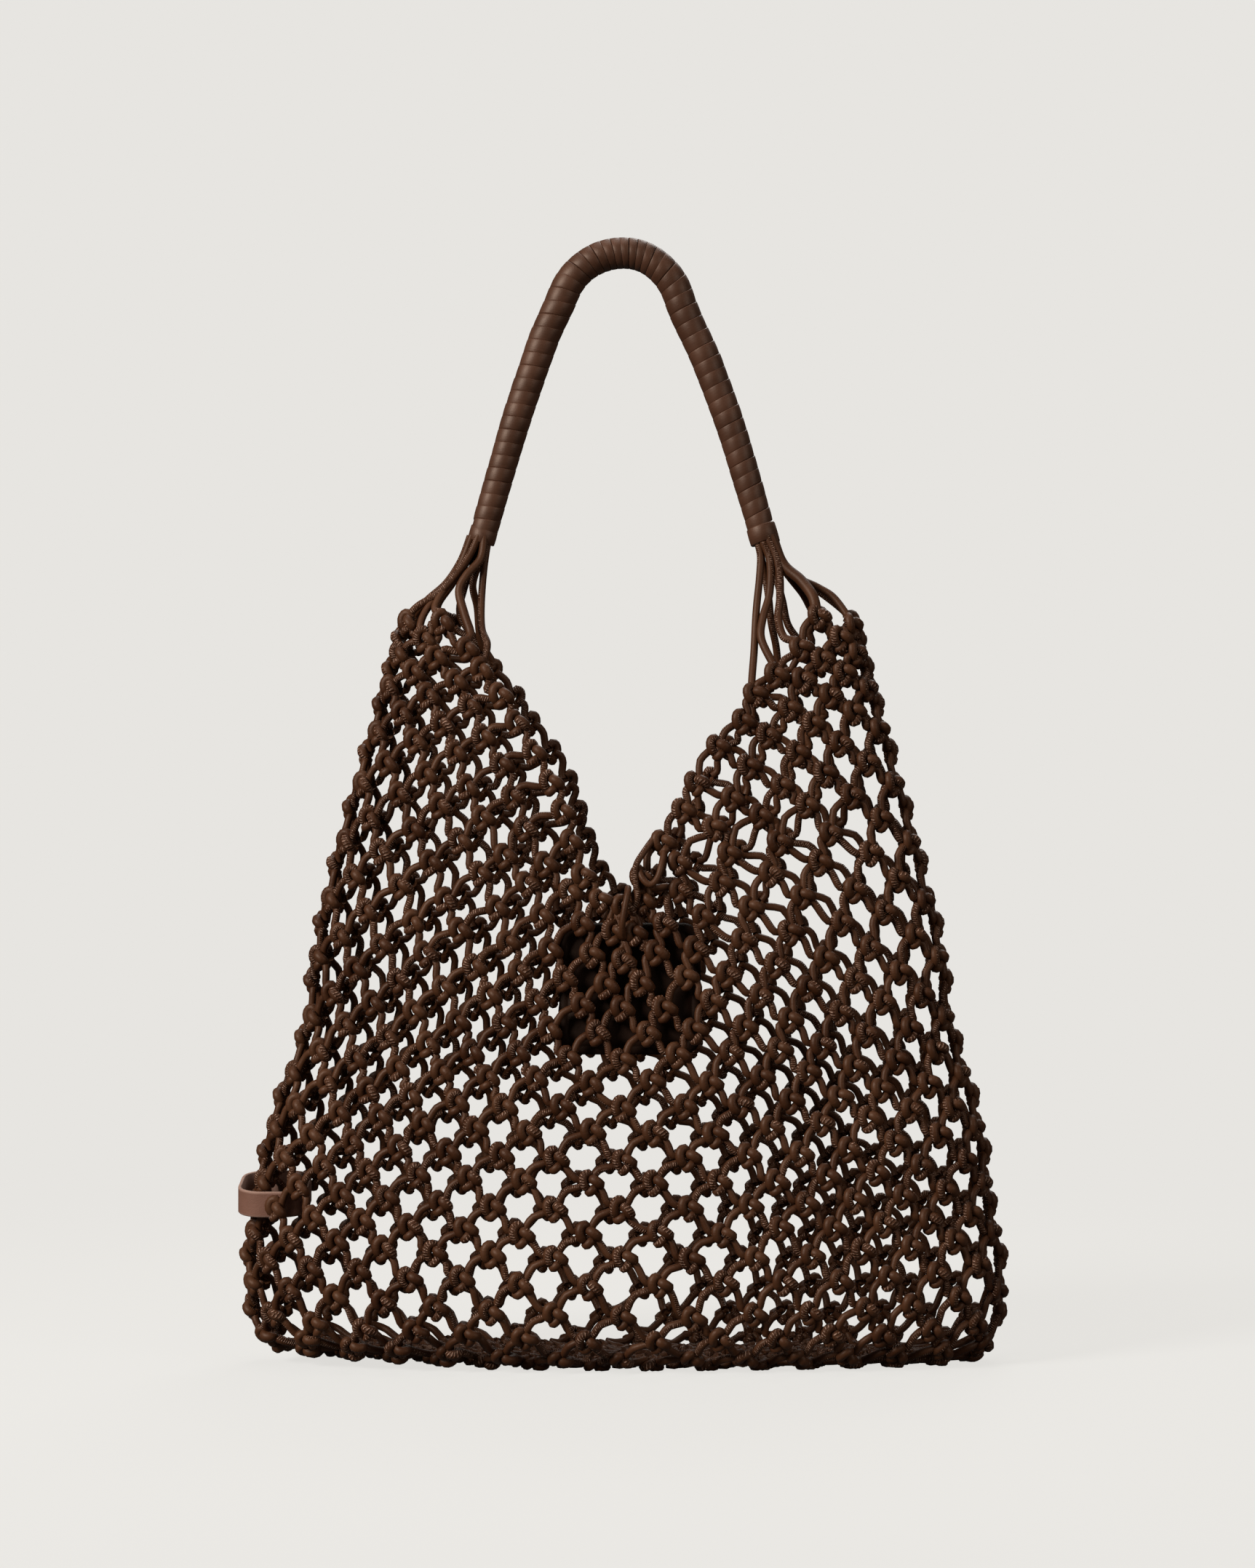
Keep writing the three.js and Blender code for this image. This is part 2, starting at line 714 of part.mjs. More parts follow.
addPiece("net_front", frontPanel, leather.cord);
addPiece("net_back", mirrored(frontPanel), leather.cord);
addPiece("handle_wrap", handleWrap(), leather.strip);
const sides = [
  { name: "left", side: -1, bandDiameter: endBandDiameterLeft },
  { name: "right", side: 1, bandDiameter: endBandDiameterRight },
];
for (const { name, side, bandDiameter } of sides) {
  addPiece(`handle_end_${name}`, endBand(side, bandDiameter), leather.strip);
  for (let number = 0; number < fanCords.length; number += 1) {
    addPiece(`fan_cord_${name}_${number + 1}`, fanCord(side, number), leather.cord);
  }
}
addPiece("side_loop", sideLoop(), leather.strap);
addPiece("pouch", pouch(), leather.pouch);
addPiece("pouch_tie", pouchTie(), leather.cord);

export default bag;
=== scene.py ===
import bpy
import math
import random
from functools import lru_cache
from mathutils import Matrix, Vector


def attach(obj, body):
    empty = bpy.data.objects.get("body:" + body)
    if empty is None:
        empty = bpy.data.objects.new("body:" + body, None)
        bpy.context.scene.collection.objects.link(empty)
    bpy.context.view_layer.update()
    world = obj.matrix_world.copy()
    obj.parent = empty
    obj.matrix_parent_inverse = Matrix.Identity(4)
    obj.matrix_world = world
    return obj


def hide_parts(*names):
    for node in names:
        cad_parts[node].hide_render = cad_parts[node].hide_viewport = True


# Knotted leather net bag, standing filled out on its base. Metres, +Z up, the front faces -Y.
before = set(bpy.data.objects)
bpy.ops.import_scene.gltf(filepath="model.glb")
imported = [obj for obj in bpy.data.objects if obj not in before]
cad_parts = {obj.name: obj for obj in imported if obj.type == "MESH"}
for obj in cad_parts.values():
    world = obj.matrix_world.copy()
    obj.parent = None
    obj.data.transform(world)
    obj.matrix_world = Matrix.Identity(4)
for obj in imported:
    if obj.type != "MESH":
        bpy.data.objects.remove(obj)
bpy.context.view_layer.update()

CORD = 0.0038            # diameter of the net's cord
FAN_CORD = 0.0035        # and of the cords between the net and the handle

# Sizes of the body, as in the solids
BODY_HEIGHT = 0.352
BODY_HALF_WIDTH = 0.179
BODY_HALF_DEPTH = 0.056
NET_THICKNESS = 0.006
FLOOR_GAP = 0.0002       # the lowest cords lie this far above the floor
LEFT_LIFT = 0.005        # the base curls up by this much at its left end
LIFT_FROM = 0.025        # starting this far from the middle
LIFT_LENGTH = 0.125
LIFT_LEVELS = 0.25       # and dies out up to this level

# Sections of the body from the seam under the base to the shoulders, in shares of its sizes
SECTIONS = (
    # level, height, width, depth, fullness
    (-0.135, 0.0, 0.78, 0.0, 2.2),
    (-0.03, 0.0, 0.87, 0.44, 2.2),
    (0.0, 0.006, 0.93, 0.64, 2.2),
    (0.045, 0.04, 0.98, 0.89, 2.2),
    (0.12, 0.12, 1.0, 1.0, 2.2),
    (0.21, 0.21, 0.985, 0.97, 2.2),
    (0.3, 0.3, 0.95, 0.9, 2.2),
    (0.455, 0.455, 0.87, 0.77, 2.2),
    (0.61, 0.61, 0.8, 0.64, 2.3),
    (0.755, 0.755, 0.73, 0.54, 2.5),
    (0.92, 0.92, 0.655, 0.44, 2.8),
    (1.0, 1.0, 0.615, 0.4, 3.0),
)

# How far the two side folds hang in from the sections, in millimetres
SIDE_TRIM = (
    # level, left, right
    (-0.135, 0, 0),
    (0.0, 0, -2),
    (0.12, 1.5, 0),
    (0.21, 2, 3),
    (0.33, 3, 0),
    (0.45, 6, 1),
    (0.55, 2, -3),
    (0.68, 1.5, -3),
    (0.8, 3, -1.5),
    (0.92, 5.5, 0.5),
    (1.0, 6, 1),
)

# The net's rows of knots, counted from the bottom of the V, and their levels on the wall
COLUMNS_TO_FOLD = 15
SEAM_ROW = -23
TOP_ROW = 10
ROWS = (
    # row, level in the middle of a panel, level at the side fold, how far the columns near the middle
    # spread (or gather, below 0), how much of the rise to the fold comes early in the row
    (-23, -0.135, -0.135, 0.2, 0.0),
    (-20, -0.045, -0.04, 0.25, 0.0),
    (-17.5, 0.03, 0.045, 0.3, 0.0),
    (-12.5, 0.2, 0.224, 0.3, 0.0),
    (-7.5, 0.362, 0.41, 0.22, 0.05),
    (-2.5, 0.523, 0.605, -0.3, 0.25),
    (0, 0.605, 0.705, -0.75, 0.4),
    (1, 0.643, 0.742, -0.3, 0.45),
    (2.5, 0.7, 0.8, 0.05, 0.5),
    (5, 0.795, 0.88, 0.15, 0.6),
    (7.5, 0.89, 0.94, 0.15, 0.8),
    (10, 0.985, 0.985, 0.2, 1.0),
)
SHOULDER_LIFT = {"left": 0.007, "right": 0.004}    # lifts the top row on its way from the V to the fold
SHOULDER_ROWS = 3        # the number of rows over which that lift comes in
EARLY_RISE = 2.2         # power of the early part of a row's rise
V_COLUMNS = 2            # columns that end at the bottom of the V, on each side of its middle
BACK_SHIFT = 0.045       # the back's middle hangs this far to the right, as a share of a quarter round
BACK_ROWS = 8            # growing to that over this many rows above the seam

# The two edges of the V, one knot to a row: distance from the middle and height, in millimetres
V_EDGES = {
    "left": ((0, 210), (19, 228), (24, 244), (28, 258), (33, 272), (41, 286), (50, 299.5), (58, 311),
             (68, 324), (76, 333), (87, 345)),
    "right": ((0, 210), (8, 228), (18, 244), (27, 258), (34, 272), (43, 287), (55, 300), (61, 312),
              (71, 322), (83, 333), (91, 349)),
}


def look_up(table, column, key):
    """A column of a table between its rows, on a smooth curve that doesn't overshoot."""
    rows = [(row[0], row[column]) for row in table]
    i = 1
    while i < len(rows) - 1 and rows[i][0] < key:
        i += 1
    (x0, y0), (x1, y1) = rows[i - 1], rows[i]
    slope = (y1 - y0) / (x1 - x0)
    if key < x0 or key > x1:
        return y1 + slope * (key - x1) if key > x1 else y0 + slope * (key - x0)

    def tangent(j):
        if j in (0, len(rows) - 1):
            return slope
        before = (rows[j][1] - rows[j - 1][1]) / (rows[j][0] - rows[j - 1][0])
        after = (rows[j + 1][1] - rows[j][1]) / (rows[j + 1][0] - rows[j][0])
        return 0.0 if before * after <= 0 else 2 * before * after / (before + after)

    share = (key - x0) / (x1 - x0)
    span = x1 - x0
    m0, m1 = tangent(i - 1) * span, tangent(i) * span
    square, cube = share * share, share ** 3
    return ((2 * cube - 3 * square + 1) * y0 + (cube - 2 * square + share) * m0
            + (3 * square - 2 * cube) * y1 + (cube - square) * m1)


@lru_cache(maxsize=None)
def section_at(level):
    """Height, half width, half depth and fullness of the wall's middle surface."""
    half = NET_THICKNESS / 2
    height = half + look_up(SECTIONS, 1, level) * (BODY_HEIGHT - NET_THICKNESS)
    width = look_up(SECTIONS, 2, level) * BODY_HALF_WIDTH - half
    depth = look_up(SECTIONS, 3, level) * (BODY_HALF_DEPTH - half)
    return height, width, max(depth, 0.0), look_up(SECTIONS, 4, level)


def plan_point(section, angle):
    """A place on a section's outline: angle 0 is the middle of the front, a quarter turn the fold."""
    _, width, depth, fullness = section
    power = 2 / fullness
    sine, cosine = math.sin(angle), math.cos(angle)
    return (math.copysign(width * abs(sine) ** power, sine),
            -math.copysign(depth * abs(cosine) ** power, cosine))


PLAN_STEPS = 60


@lru_cache(maxsize=None)
def quarter_lengths(section):
    lengths = [0.0]
    last = plan_point(section, 0.0)
    for i in range(1, PLAN_STEPS + 1):
        point = plan_point(section, math.pi / 2 * i / PLAN_STEPS)
        lengths.append(lengths[-1] + math.dist(point, last))
        last = point
    return lengths


def angle_at_share(section, share):
    lengths = quarter_lengths(section)
    wanted = share * lengths[-1]
    i = 1
    while i < PLAN_STEPS and lengths[i] < wanted:
        i += 1
    within = (wanted - lengths[i - 1]) / (lengths[i] - lengths[i - 1])
    return math.pi / 2 * (i - 1 + within) / PLAN_STEPS


def share_at_x(section, x):
    angle = math.asin(min(1.0, x / section[1]) ** (section[3] / 2))
    lengths = quarter_lengths(section)
    place = angle / (math.pi / 2) * PLAN_STEPS
    i = min(PLAN_STEPS - 1, int(place))
    return (lengths[i] + (place - i) * (lengths[i + 1] - lengths[i])) / lengths[-1]


def wall_point(around, level):
    """Around is 0 in the middle of the front, 1 at the right fold and 2 in the middle of the back."""
    around = (around + 2) % 4 - 2
    section = section_at(round(level, 6))
    side = -1 if around < 0 else 1
    share = abs(around)
    back = share > 1
    x, y = plan_point(section, angle_at_share(section, 2 - share if back else share))
    trim = look_up(SIDE_TRIM, 1 if side < 0 else 2, level) / 1000
    x *= 1 - trim / section[1]
    z = section[0]
    if side < 0:
        sideways = min(max((x - LIFT_FROM) / LIFT_LENGTH, 0.0), 1.0)
        z += LEFT_LIFT * sideways * min(max(1 - level / LIFT_LEVELS, 0.0), 1.0)
    return Vector((side * x, -y if back else y, z))


def wall_frame(around, level):
    """Point, direction to the right, direction up the wall and direction outwards."""
    step = 0.02
    across = wall_point(around + step, level) - wall_point(around - step, level)
    up = wall_point(around, level + step) - wall_point(around, level - step)
    out = across.cross(up)
    if out.length < 1e-8:
        out = Vector((0, 0, -1))
    out.normalize()
    up -= out * up.dot(out)
    up.normalize()
    return wall_point(around, level), up.cross(out), up, out


def lattice_place(column, row):
    """Around and level of a knot. Column 0 is the middle of the front, 30 that of the back."""
    whole = 2 * COLUMNS_TO_FOLD
    column = (column + whole) % (2 * whole) - whole
    side = -1 if column < 0 else 1
    back = abs(column) > COLUMNS_TO_FOLD
    from_middle = whole - abs(column) if back else abs(column)
    fold, spread, early = (look_up(ROWS, key, row) for key in (2, 3, 4))
    if row <= 0:
        inward = from_middle / COLUMNS_TO_FOLD
        middle = look_up(ROWS, 1, row)
        start = 0.0
    else:
        name = "left" if side < 0 else "right"
        edge = V_EDGES[name]
        low = min(int(row), TOP_ROW - 1)
        part = row - low
        x, z = ((1 - part) * a + part * b for a, b in zip(edge[low], edge[low + 1]))
        middle = (z / 1000 - NET_THICKNESS / 2) / (BODY_HEIGHT - NET_THICKNESS)
        edge_column = row + V_COLUMNS
        inward = max((from_middle - edge_column) / (COLUMNS_TO_FOLD - edge_column), 0.0)
        start = share_at_x(section_at(round(middle, 6)), max(x, 0) / 1000)
        lift = SHOULDER_LIFT[name] * max(0.0, row + SHOULDER_ROWS - TOP_ROW) / SHOULDER_ROWS
        middle += lift * math.sin(math.pi * inward)
    share = start + (1 - start) * (inward + spread * inward * (1 - inward) ** 2)
    rise = (1 - early) * inward ** 2 + early * (1 - (1 - inward) ** EARLY_RISE)
    level = middle + (fold - middle) * rise
    if back:
        shift = BACK_SHIFT * (1 - share) * min((row - SEAM_ROW) / BACK_ROWS, 1.0)
        return side * (2 - share) - shift, level
    return side * share, level


# Camera at the photograph's viewing angle
CAMERA_PLACE = (0.0019, -1.8, 0.27)
CAMERA_LENS = 88.4       # millimetres, on a sensor 36 high


def add_camera():
    data = bpy.data.cameras.new("camera")
    data.sensor_fit = "VERTICAL"
    data.sensor_height = 36
    data.lens = CAMERA_LENS
    camera = bpy.data.objects.new("camera", data)
    camera.location = CAMERA_PLACE
    camera.rotation_euler = (math.radians(90), 0, 0)
    bpy.context.scene.collection.objects.link(camera)
    bpy.context.scene.camera = camera


# Node helpers
def feed(tree, socket, value):
    """Gives a socket a value, or links it to another node's output."""
    if isinstance(value, bpy.types.NodeSocket):
        tree.links.new(value, socket)
    else:
        socket.default_value = value


def add_node(tree, kind, sockets=None, **settings):
    node = tree.nodes.new(kind)
    for name, value in settings.items():
        setattr(node, name, value)
    for name, value in (sockets or {}).items():
        feed(tree, node.inputs[name], value)
    return node


def math_node(tree, operation, *values):
    node = add_node(tree, "ShaderNodeMath", operation=operation)
    for socket, value in zip(node.inputs, values):
        feed(tree, socket, value)
    return node.outputs[0]


def vector_node(tree, operation, *values):
    node = add_node(tree, "ShaderNodeVectorMath", operation=operation)
    for socket, value in zip(node.inputs, values):
        feed(tree, socket, value)
    return node.outputs["Value" if operation == "LENGTH" else "Vector"]


def map_range(tree, value, low, high, to_low=0.0, to_high=1.0):
    return add_node(tree, "ShaderNodeMapRange", {
        "Value": value, "From Min": low, "From Max": high, "To Min": to_low, "To Max": to_high,
    }, interpolation_type="SMOOTHSTEP").outputs[0]


def mix_colours(tree, factor, first, second):
    node = add_node(tree, "ShaderNodeMix", data_type="RGBA", blend_type="MIX")
    for name, value in (("Factor_Float", factor), ("A_Color", first), ("B_Color", second)):
        feed(tree, next(s for s in node.inputs if s.identifier == name), value)
    return next(s for s in node.outputs if s.identifier == "Result_Color")


def new_group(name, kind, inputs, outputs):
    tree = bpy.data.node_groups.new(name, kind)
    for in_out, sockets in (("INPUT", inputs), ("OUTPUT", outputs)):
        for socket_name, socket_type, value in sockets:
            socket = tree.interface.new_socket(socket_name, in_out=in_out, socket_type=socket_type)
            if value is not None:
                socket.default_value = value
    return tree, tree.nodes.new("NodeGroupInput"), tree.nodes.new("NodeGroupOutput")


# Geometry Nodes: sweeps round cord along polylines
def cord_tree():
    tree, given, result = new_group("cord_sweep", "GeometryNodeTree", (
        ("Paths", "NodeSocketGeometry", None),
        ("Sides", "NodeSocketInt", 8),
        ("Steps", "NodeSocketInt", 2),
        ("Floor", "NodeSocketFloat", FLOOR_GAP),
        ("Leather", "NodeSocketMaterial", None),
    ), (("Cord", "NodeSocketGeometry", None),))

    def named(name, kind="FLOAT"):
        return add_node(tree, "GeometryNodeInputNamedAttribute", {"Name": name},
                        data_type=kind).outputs[0]

    def store(geometry, name, value, kind="FLOAT"):
        return add_node(tree, "GeometryNodeStoreNamedAttribute",
                        {"Geometry": geometry, "Name": name, "Value": value},
                        data_type=kind, domain="POINT").outputs[0]

    curve = add_node(tree, "GeometryNodeMeshToCurve", {"Mesh": given.outputs["Paths"]}).outputs[0]
    curve = add_node(tree, "GeometryNodeCurveSplineType", {"Curve": curve},
                     spline_type="CATMULL_ROM").outputs[0]
    curve = add_node(tree, "GeometryNodeSetSplineResolution",
                     {"Geometry": curve, "Resolution": given.outputs["Steps"]}).outputs[0]
    length = tree.nodes.new("GeometryNodeSplineParameter").outputs["Length"]
    curve = store(curve, "cord_along", length)
    profile = add_node(tree, "GeometryNodeCurvePrimitiveCircle",
                       {"Resolution": given.outputs["Sides"], "Radius": 1.0}, mode="RADIUS").outputs[0]
    turn = tree.nodes.new("GeometryNodeSplineParameter").outputs["Factor"]
    turn = math_node(tree, "MULTIPLY", turn, 2 * math.pi)
    profile = store(profile, "cord_cosine", math_node(tree, "COSINE", turn))
    profile = store(profile, "cord_sine", math_node(tree, "SINE", turn))
    mesh = add_node(tree, "GeometryNodeCurveToMesh", {
        "Curve": curve, "Profile Curve": profile, "Scale": named("cord_radius"), "Fill Caps": True,
    }).outputs[0]
    # the seam starts at its own angle on each length of cord and wanders round it
    angle = math_node(tree, "ADD", named("seam_start"), math_node(
        tree, "MULTIPLY", named("cord_along"), named("seam_twist")))
    cosine, sine = math_node(tree, "COSINE", angle), math_node(tree, "SINE", angle)
    seam_x = math_node(tree, "SUBTRACT", math_node(tree, "MULTIPLY", named("cord_cosine"), cosine),
                       math_node(tree, "MULTIPLY", named("cord_sine"), sine))
    seam_y = math_node(tree, "ADD", math_node(tree, "MULTIPLY", named("cord_cosine"), sine),
                       math_node(tree, "MULTIPLY", named("cord_sine"), cosine))
    place = add_node(tree, "ShaderNodeCombineXYZ",
                     {"X": seam_x, "Y": seam_y, "Z": named("cord_along")}).outputs[0]
    mesh = store(mesh, "cord_place", place, "FLOAT_VECTOR")
    position = tree.nodes.new("GeometryNodeInputPosition").outputs[0]
    split = add_node(tree, "ShaderNodeSeparateXYZ", {"Vector": position})
    # nothing goes through the floor
    height = math_node(tree, "MAXIMUM", split.outputs["Z"], given.outputs["Floor"])
    pressed = add_node(tree, "ShaderNodeCombineXYZ",
                       {"X": split.outputs["X"], "Y": split.outputs["Y"], "Z": height}).outputs[0]
    mesh = add_node(tree, "GeometryNodeSetPosition", {"Geometry": mesh, "Position": pressed}).outputs[0]
    mesh = add_node(tree, "GeometryNodeSetShadeSmooth", {"Geometry": mesh}).outputs[0]
    mesh = add_node(tree, "GeometryNodeRealizeInstances", {"Geometry": mesh}).outputs[0]
    mesh = add_node(tree, "GeometryNodeSetMaterial",
                    {"Geometry": mesh, "Material": given.outputs["Leather"]}).outputs[0]
    tree.links.new(mesh, result.inputs["Cord"])
    return tree


def socket_id(tree, name):
    return next(item.identifier for item in tree.interface.items_tree
                if item.item_type == "SOCKET" and item.in_out == "INPUT" and item.name == name)


def finish_by_tree(start, tree, values, name):
    """Runs a tree on an object and leaves its result as a plain mesh of the given name."""
    modifier = start.modifiers.new("made", "NODES")
    modifier.node_group = tree
    for label, value in values.items():
        modifier[socket_id(tree, label)] = value
    bpy.context.view_layer.update()
    evaluated = start.evaluated_get(bpy.context.evaluated_depsgraph_get())
    mesh = bpy.data.meshes.new_from_object(evaluated)
    mesh.name = name
    start.modifiers.clear()
    bpy.data.objects.remove(start)
    piece = bpy.data.objects.new(name, mesh)
    bpy.context.scene.collection.objects.link(piece)
    return piece


MOST_TWIST = 60          # how fast a seam can wander round its cord, in radians to a metre


class CordBundle:
    """Collects lengths of cord as polylines, each with its radius and the lay of its seam."""

    def __init__(self, seed):
        self.points, self.edges, self.radii, self.starts, self.twists = [], [], [], [], []
        self.random = random.Random(seed)

    def add(self, points, radius):
        """Radius is one for the whole length, or a list with one for each point."""
        start = self.random.uniform(0, 2 * math.pi)
        twist = self.random.uniform(-MOST_TWIST, MOST_TWIST)
        radii = radius if isinstance(radius, list) else [radius] * len(points)
        first = len(self.points)
        for i, point in enumerate(points):
            self.points.append(tuple(point))
            self.radii.append(radii[i])
            self.starts.append(start)
            self.twists.append(twist)
            if i:
                self.edges.append((first + i - 1, first + i))

    def make(self, name, leather, sides=8, steps=2):
        mesh = bpy.data.meshes.new(name + "_paths")
        mesh.from_pydata(self.points, self.edges, [])
        for label, values in (("cord_radius", self.radii), ("seam_start", self.starts),
                              ("seam_twist", self.twists)):
            mesh.attributes.new(label, "FLOAT", "POINT").data.foreach_set("value", values)
        start = bpy.data.objects.new(name + "_paths", mesh)
        bpy.context.scene.collection.objects.link(start)
        return finish_by_tree(start, CORD_TREE, {
            "Sides": sides, "Steps": steps, "Floor": FLOOR_GAP, "Leather": leather,
        }, name)


# Leather
STITCH_PITCH = 0.00095   # of the whipped seam along each cord
STITCH_SLANT = 2.6       # how far a stitch leans, in radians of its pitch to a radian round the cord
SEAM_HALF_WIDTH = 0.8    # in radians round the cord


def lace_group():
    """Round leather cord: a smooth side and a whipped seam, read from its cord_place attribute."""
    tree, given, result = new_group("round_lace", "ShaderNodeTree", (
        ("Stitch Pitch", "NodeSocketFloat", STITCH_PITCH),
        ("Seam Half Width", "NodeSocketFloat", SEAM_HALF_WIDTH),
    ), (
        ("Seam", "NodeSocketFloat", None),
        ("Wear And Glint", "NodeSocketFloat", None),
        ("Height", "NodeSocketFloat", None),
    ))
    place = add_node(tree, "ShaderNodeAttribute", attribute_name="cord_place").outputs["Vector"]
    split = add_node(tree, "ShaderNodeSeparateXYZ", {"Vector": place})
    angle = math_node(tree, "ARCTAN2", split.outputs["Y"], split.outputs["X"])
    width = given.outputs["Seam Half Width"]
    off = math_node(tree, "ABSOLUTE", angle)
    seam = map_range(tree, off, width, math_node(tree, "MULTIPLY", width, 0.8))
    along = math_node(tree, "MULTIPLY", math_node(
        tree, "DIVIDE", split.outputs["Z"], given.outputs["Stitch Pitch"]), 2 * math.pi)
    slant = math_node(tree, "MULTIPLY", angle, STITCH_SLANT)
    wave = math_node(tree, "SINE", math_node(tree, "ADD", along, slant))
    ridge = math_node(tree, "MULTIPLY_ADD", wave, 0.5, 0.5)
    # the crests of the stitches are pale in specks: partly wear, partly painted glints where light would
    # catch them
    speck = add_node(tree, "ShaderNodeTexNoise", {
        "Vector": add_node(tree, "ShaderNodeTexCoord").outputs["Object"],
        "Scale": 900.0, "Detail": 2.0,
    }).outputs["Fac"]
    wear_and_glint = math_node(tree, "MULTIPLY", map_range(tree, ridge, 0.62, 0.97),
                     map_range(tree, speck, 0.42, 0.64))
    wear_and_glint = math_node(tree, "MULTIPLY", wear_and_glint, seam)
    # fine rings across the smooth side
    ring_place = add_node(tree, "ShaderNodeCombineXYZ", {
        "X": math_node(tree, "MULTIPLY", split.outputs["X"], 0.6),
        "Y": math_node(tree, "MULTIPLY", split.outputs["Y"], 0.6),
        "Z": math_node(tree, "MULTIPLY", split.outputs["Z"], 2400.0),
    }).outputs[0]
    rings = add_node(tree, "ShaderNodeTexNoise",
                     {"Vector": ring_place, "Scale": 1.0, "Detail": 1.0}).outputs["Fac"]
    smooth_side = math_node(tree, "MULTIPLY", rings, 0.28)
    whipped = math_node(tree, "SUBTRACT", ridge, 0.35)
    height = add_node(tree, "ShaderNodeMix", {"Factor": seam, "A": smooth_side, "B": whipped},
                      data_type="FLOAT").outputs[0]
    tree.links.new(seam, result.inputs["Seam"])
    tree.links.new(wear_and_glint, result.inputs["Wear And Glint"])
    tree.links.new(height, result.inputs["Height"])
    return tree


def grain_group():
    """Leather grain: pores and creases for bump, and slow changes of tone."""
    tree, given, result = new_group("leather_grain", "ShaderNodeTree", (
        ("Pore Scale", "NodeSocketFloat", 1400.0),
        ("Tone Scale", "NodeSocketFloat", 26.0),
    ), (
        ("Tone", "NodeSocketFloat", None),
        ("Pores", "NodeSocketFloat", None),
    ))
    place = add_node(tree, "ShaderNodeTexCoord").outputs["Object"]
    pores = add_node(tree, "ShaderNodeTexVoronoi",
                     {"Vector": place, "Scale": given.outputs["Pore Scale"]}).outputs["Distance"]
    creases = add_node(tree, "ShaderNodeTexNoise", {
        "Vector": place, "Scale": math_node(tree, "MULTIPLY", given.outputs["Pore Scale"], 0.3),
        "Detail": 3.0,
    }).outputs["Fac"]
    tone = add_node(tree, "ShaderNodeTexNoise", {
        "Vector": place, "Scale": given.outputs["Tone Scale"], "Detail": 3.0, "Roughness": 0.6,
    }).outputs["Fac"]
    tree.links.new(map_range(tree, tone, 0.3, 0.7), result.inputs["Tone"])
    tree.links.new(math_node(tree, "ADD", math_node(tree, "MULTIPLY", pores, 0.5), creases),
                   result.inputs["Pores"])
    return tree


WARM_SHINE = (1.0, 0.78, 0.62, 1)


def start_material(name, roughness, specular):
    material = bpy.data.materials.new(name)
    material.use_nodes = True
    tree = material.node_tree
    shader = tree.nodes["Principled BSDF"]
    shader.inputs["Roughness"].default_value = roughness
    shader.inputs["Specular IOR Level"].default_value = specular
    shader.inputs["Specular Tint"].default_value = WARM_SHINE
    return material, tree, shader


def add_bump(tree, shader, height, distance):
    bump = add_node(tree, "ShaderNodeBump", {"Height": height, "Distance": distance, "Strength": 1.0})
    tree.links.new(bump.outputs["Normal"], shader.inputs["Normal"])


def add_grain(tree, pore_scale, tone_scale):
    return add_node(tree, "ShaderNodeGroup", {"Pore Scale": pore_scale, "Tone Scale": tone_scale},
                    node_tree=GRAIN)


CORD_ROUGHNESS = 0.52
WORN_POLISH = 0.14       # the pale specks on the stitches' crests (partly wear, partly painted glints) are smoother by this


def cord_leather(name, dark, light, wear_and_glint):
    material, tree, shader = start_material(name, CORD_ROUGHNESS, 0.3)
    lace = add_node(tree, "ShaderNodeGroup", node_tree=LACE)
    grain = add_grain(tree, 1500.0, 30.0)
    colour = mix_colours(tree, grain.outputs["Tone"], dark, light)
    colour = mix_colours(tree, math_node(tree, "MULTIPLY", lace.outputs["Seam"], 0.35), colour, dark)
    # pale specks on the stitch crests: partly wear, partly painted glints
    colour = mix_colours(tree, lace.outputs["Wear And Glint"], colour, wear_and_glint)
    tree.links.new(colour, shader.inputs["Base Color"])
    rough = map_range(tree, lace.outputs["Wear And Glint"], 0.0, 1.0,
                      CORD_ROUGHNESS, CORD_ROUGHNESS - WORN_POLISH)
    tree.links.new(rough, shader.inputs["Roughness"])
    height = math_node(tree, "MULTIPLY_ADD", grain.outputs["Pores"], 0.12, lace.outputs["Height"])
    add_bump(tree, shader, height, 0.0003)
    return material


def flat_leather(name, dark, light, roughness, bump, specular=0.3, wear_and_glint=None):
    material, tree, shader = start_material(name, roughness, specular)
    grain = add_grain(tree, 1700.0, 60.0)
    # fibres brushed along the strip
    place = add_node(tree, "ShaderNodeAttribute", attribute_name="cord_place").outputs["Vector"]
    fibre_place = vector_node(tree, "MULTIPLY", place, (2600.0, 900.0, 170.0))
    fibre = add_node(tree, "ShaderNodeTexNoise",
                     {"Vector": fibre_place, "Scale": 1.0, "Detail": 3.0}).outputs["Fac"]
    tone = math_node(tree, "MULTIPLY_ADD", fibre, 0.8, math_node(
        tree, "MULTIPLY_ADD", grain.outputs["Tone"], 0.5, -0.15))
    colour = mix_colours(tree, map_range(tree, tone, 0.0, 1.0), dark, light)
    if wear_and_glint:
        edge = add_node(tree, "ShaderNodeAttribute", attribute_name="worn_edge").outputs["Fac"]
        colour = mix_colours(tree, edge, colour, wear_and_glint)
    tree.links.new(colour, shader.inputs["Base Color"])
    height = math_node(tree, "ADD", grain.outputs["Pores"], fibre)
    add_bump(tree, shader, height, bump)
    return material


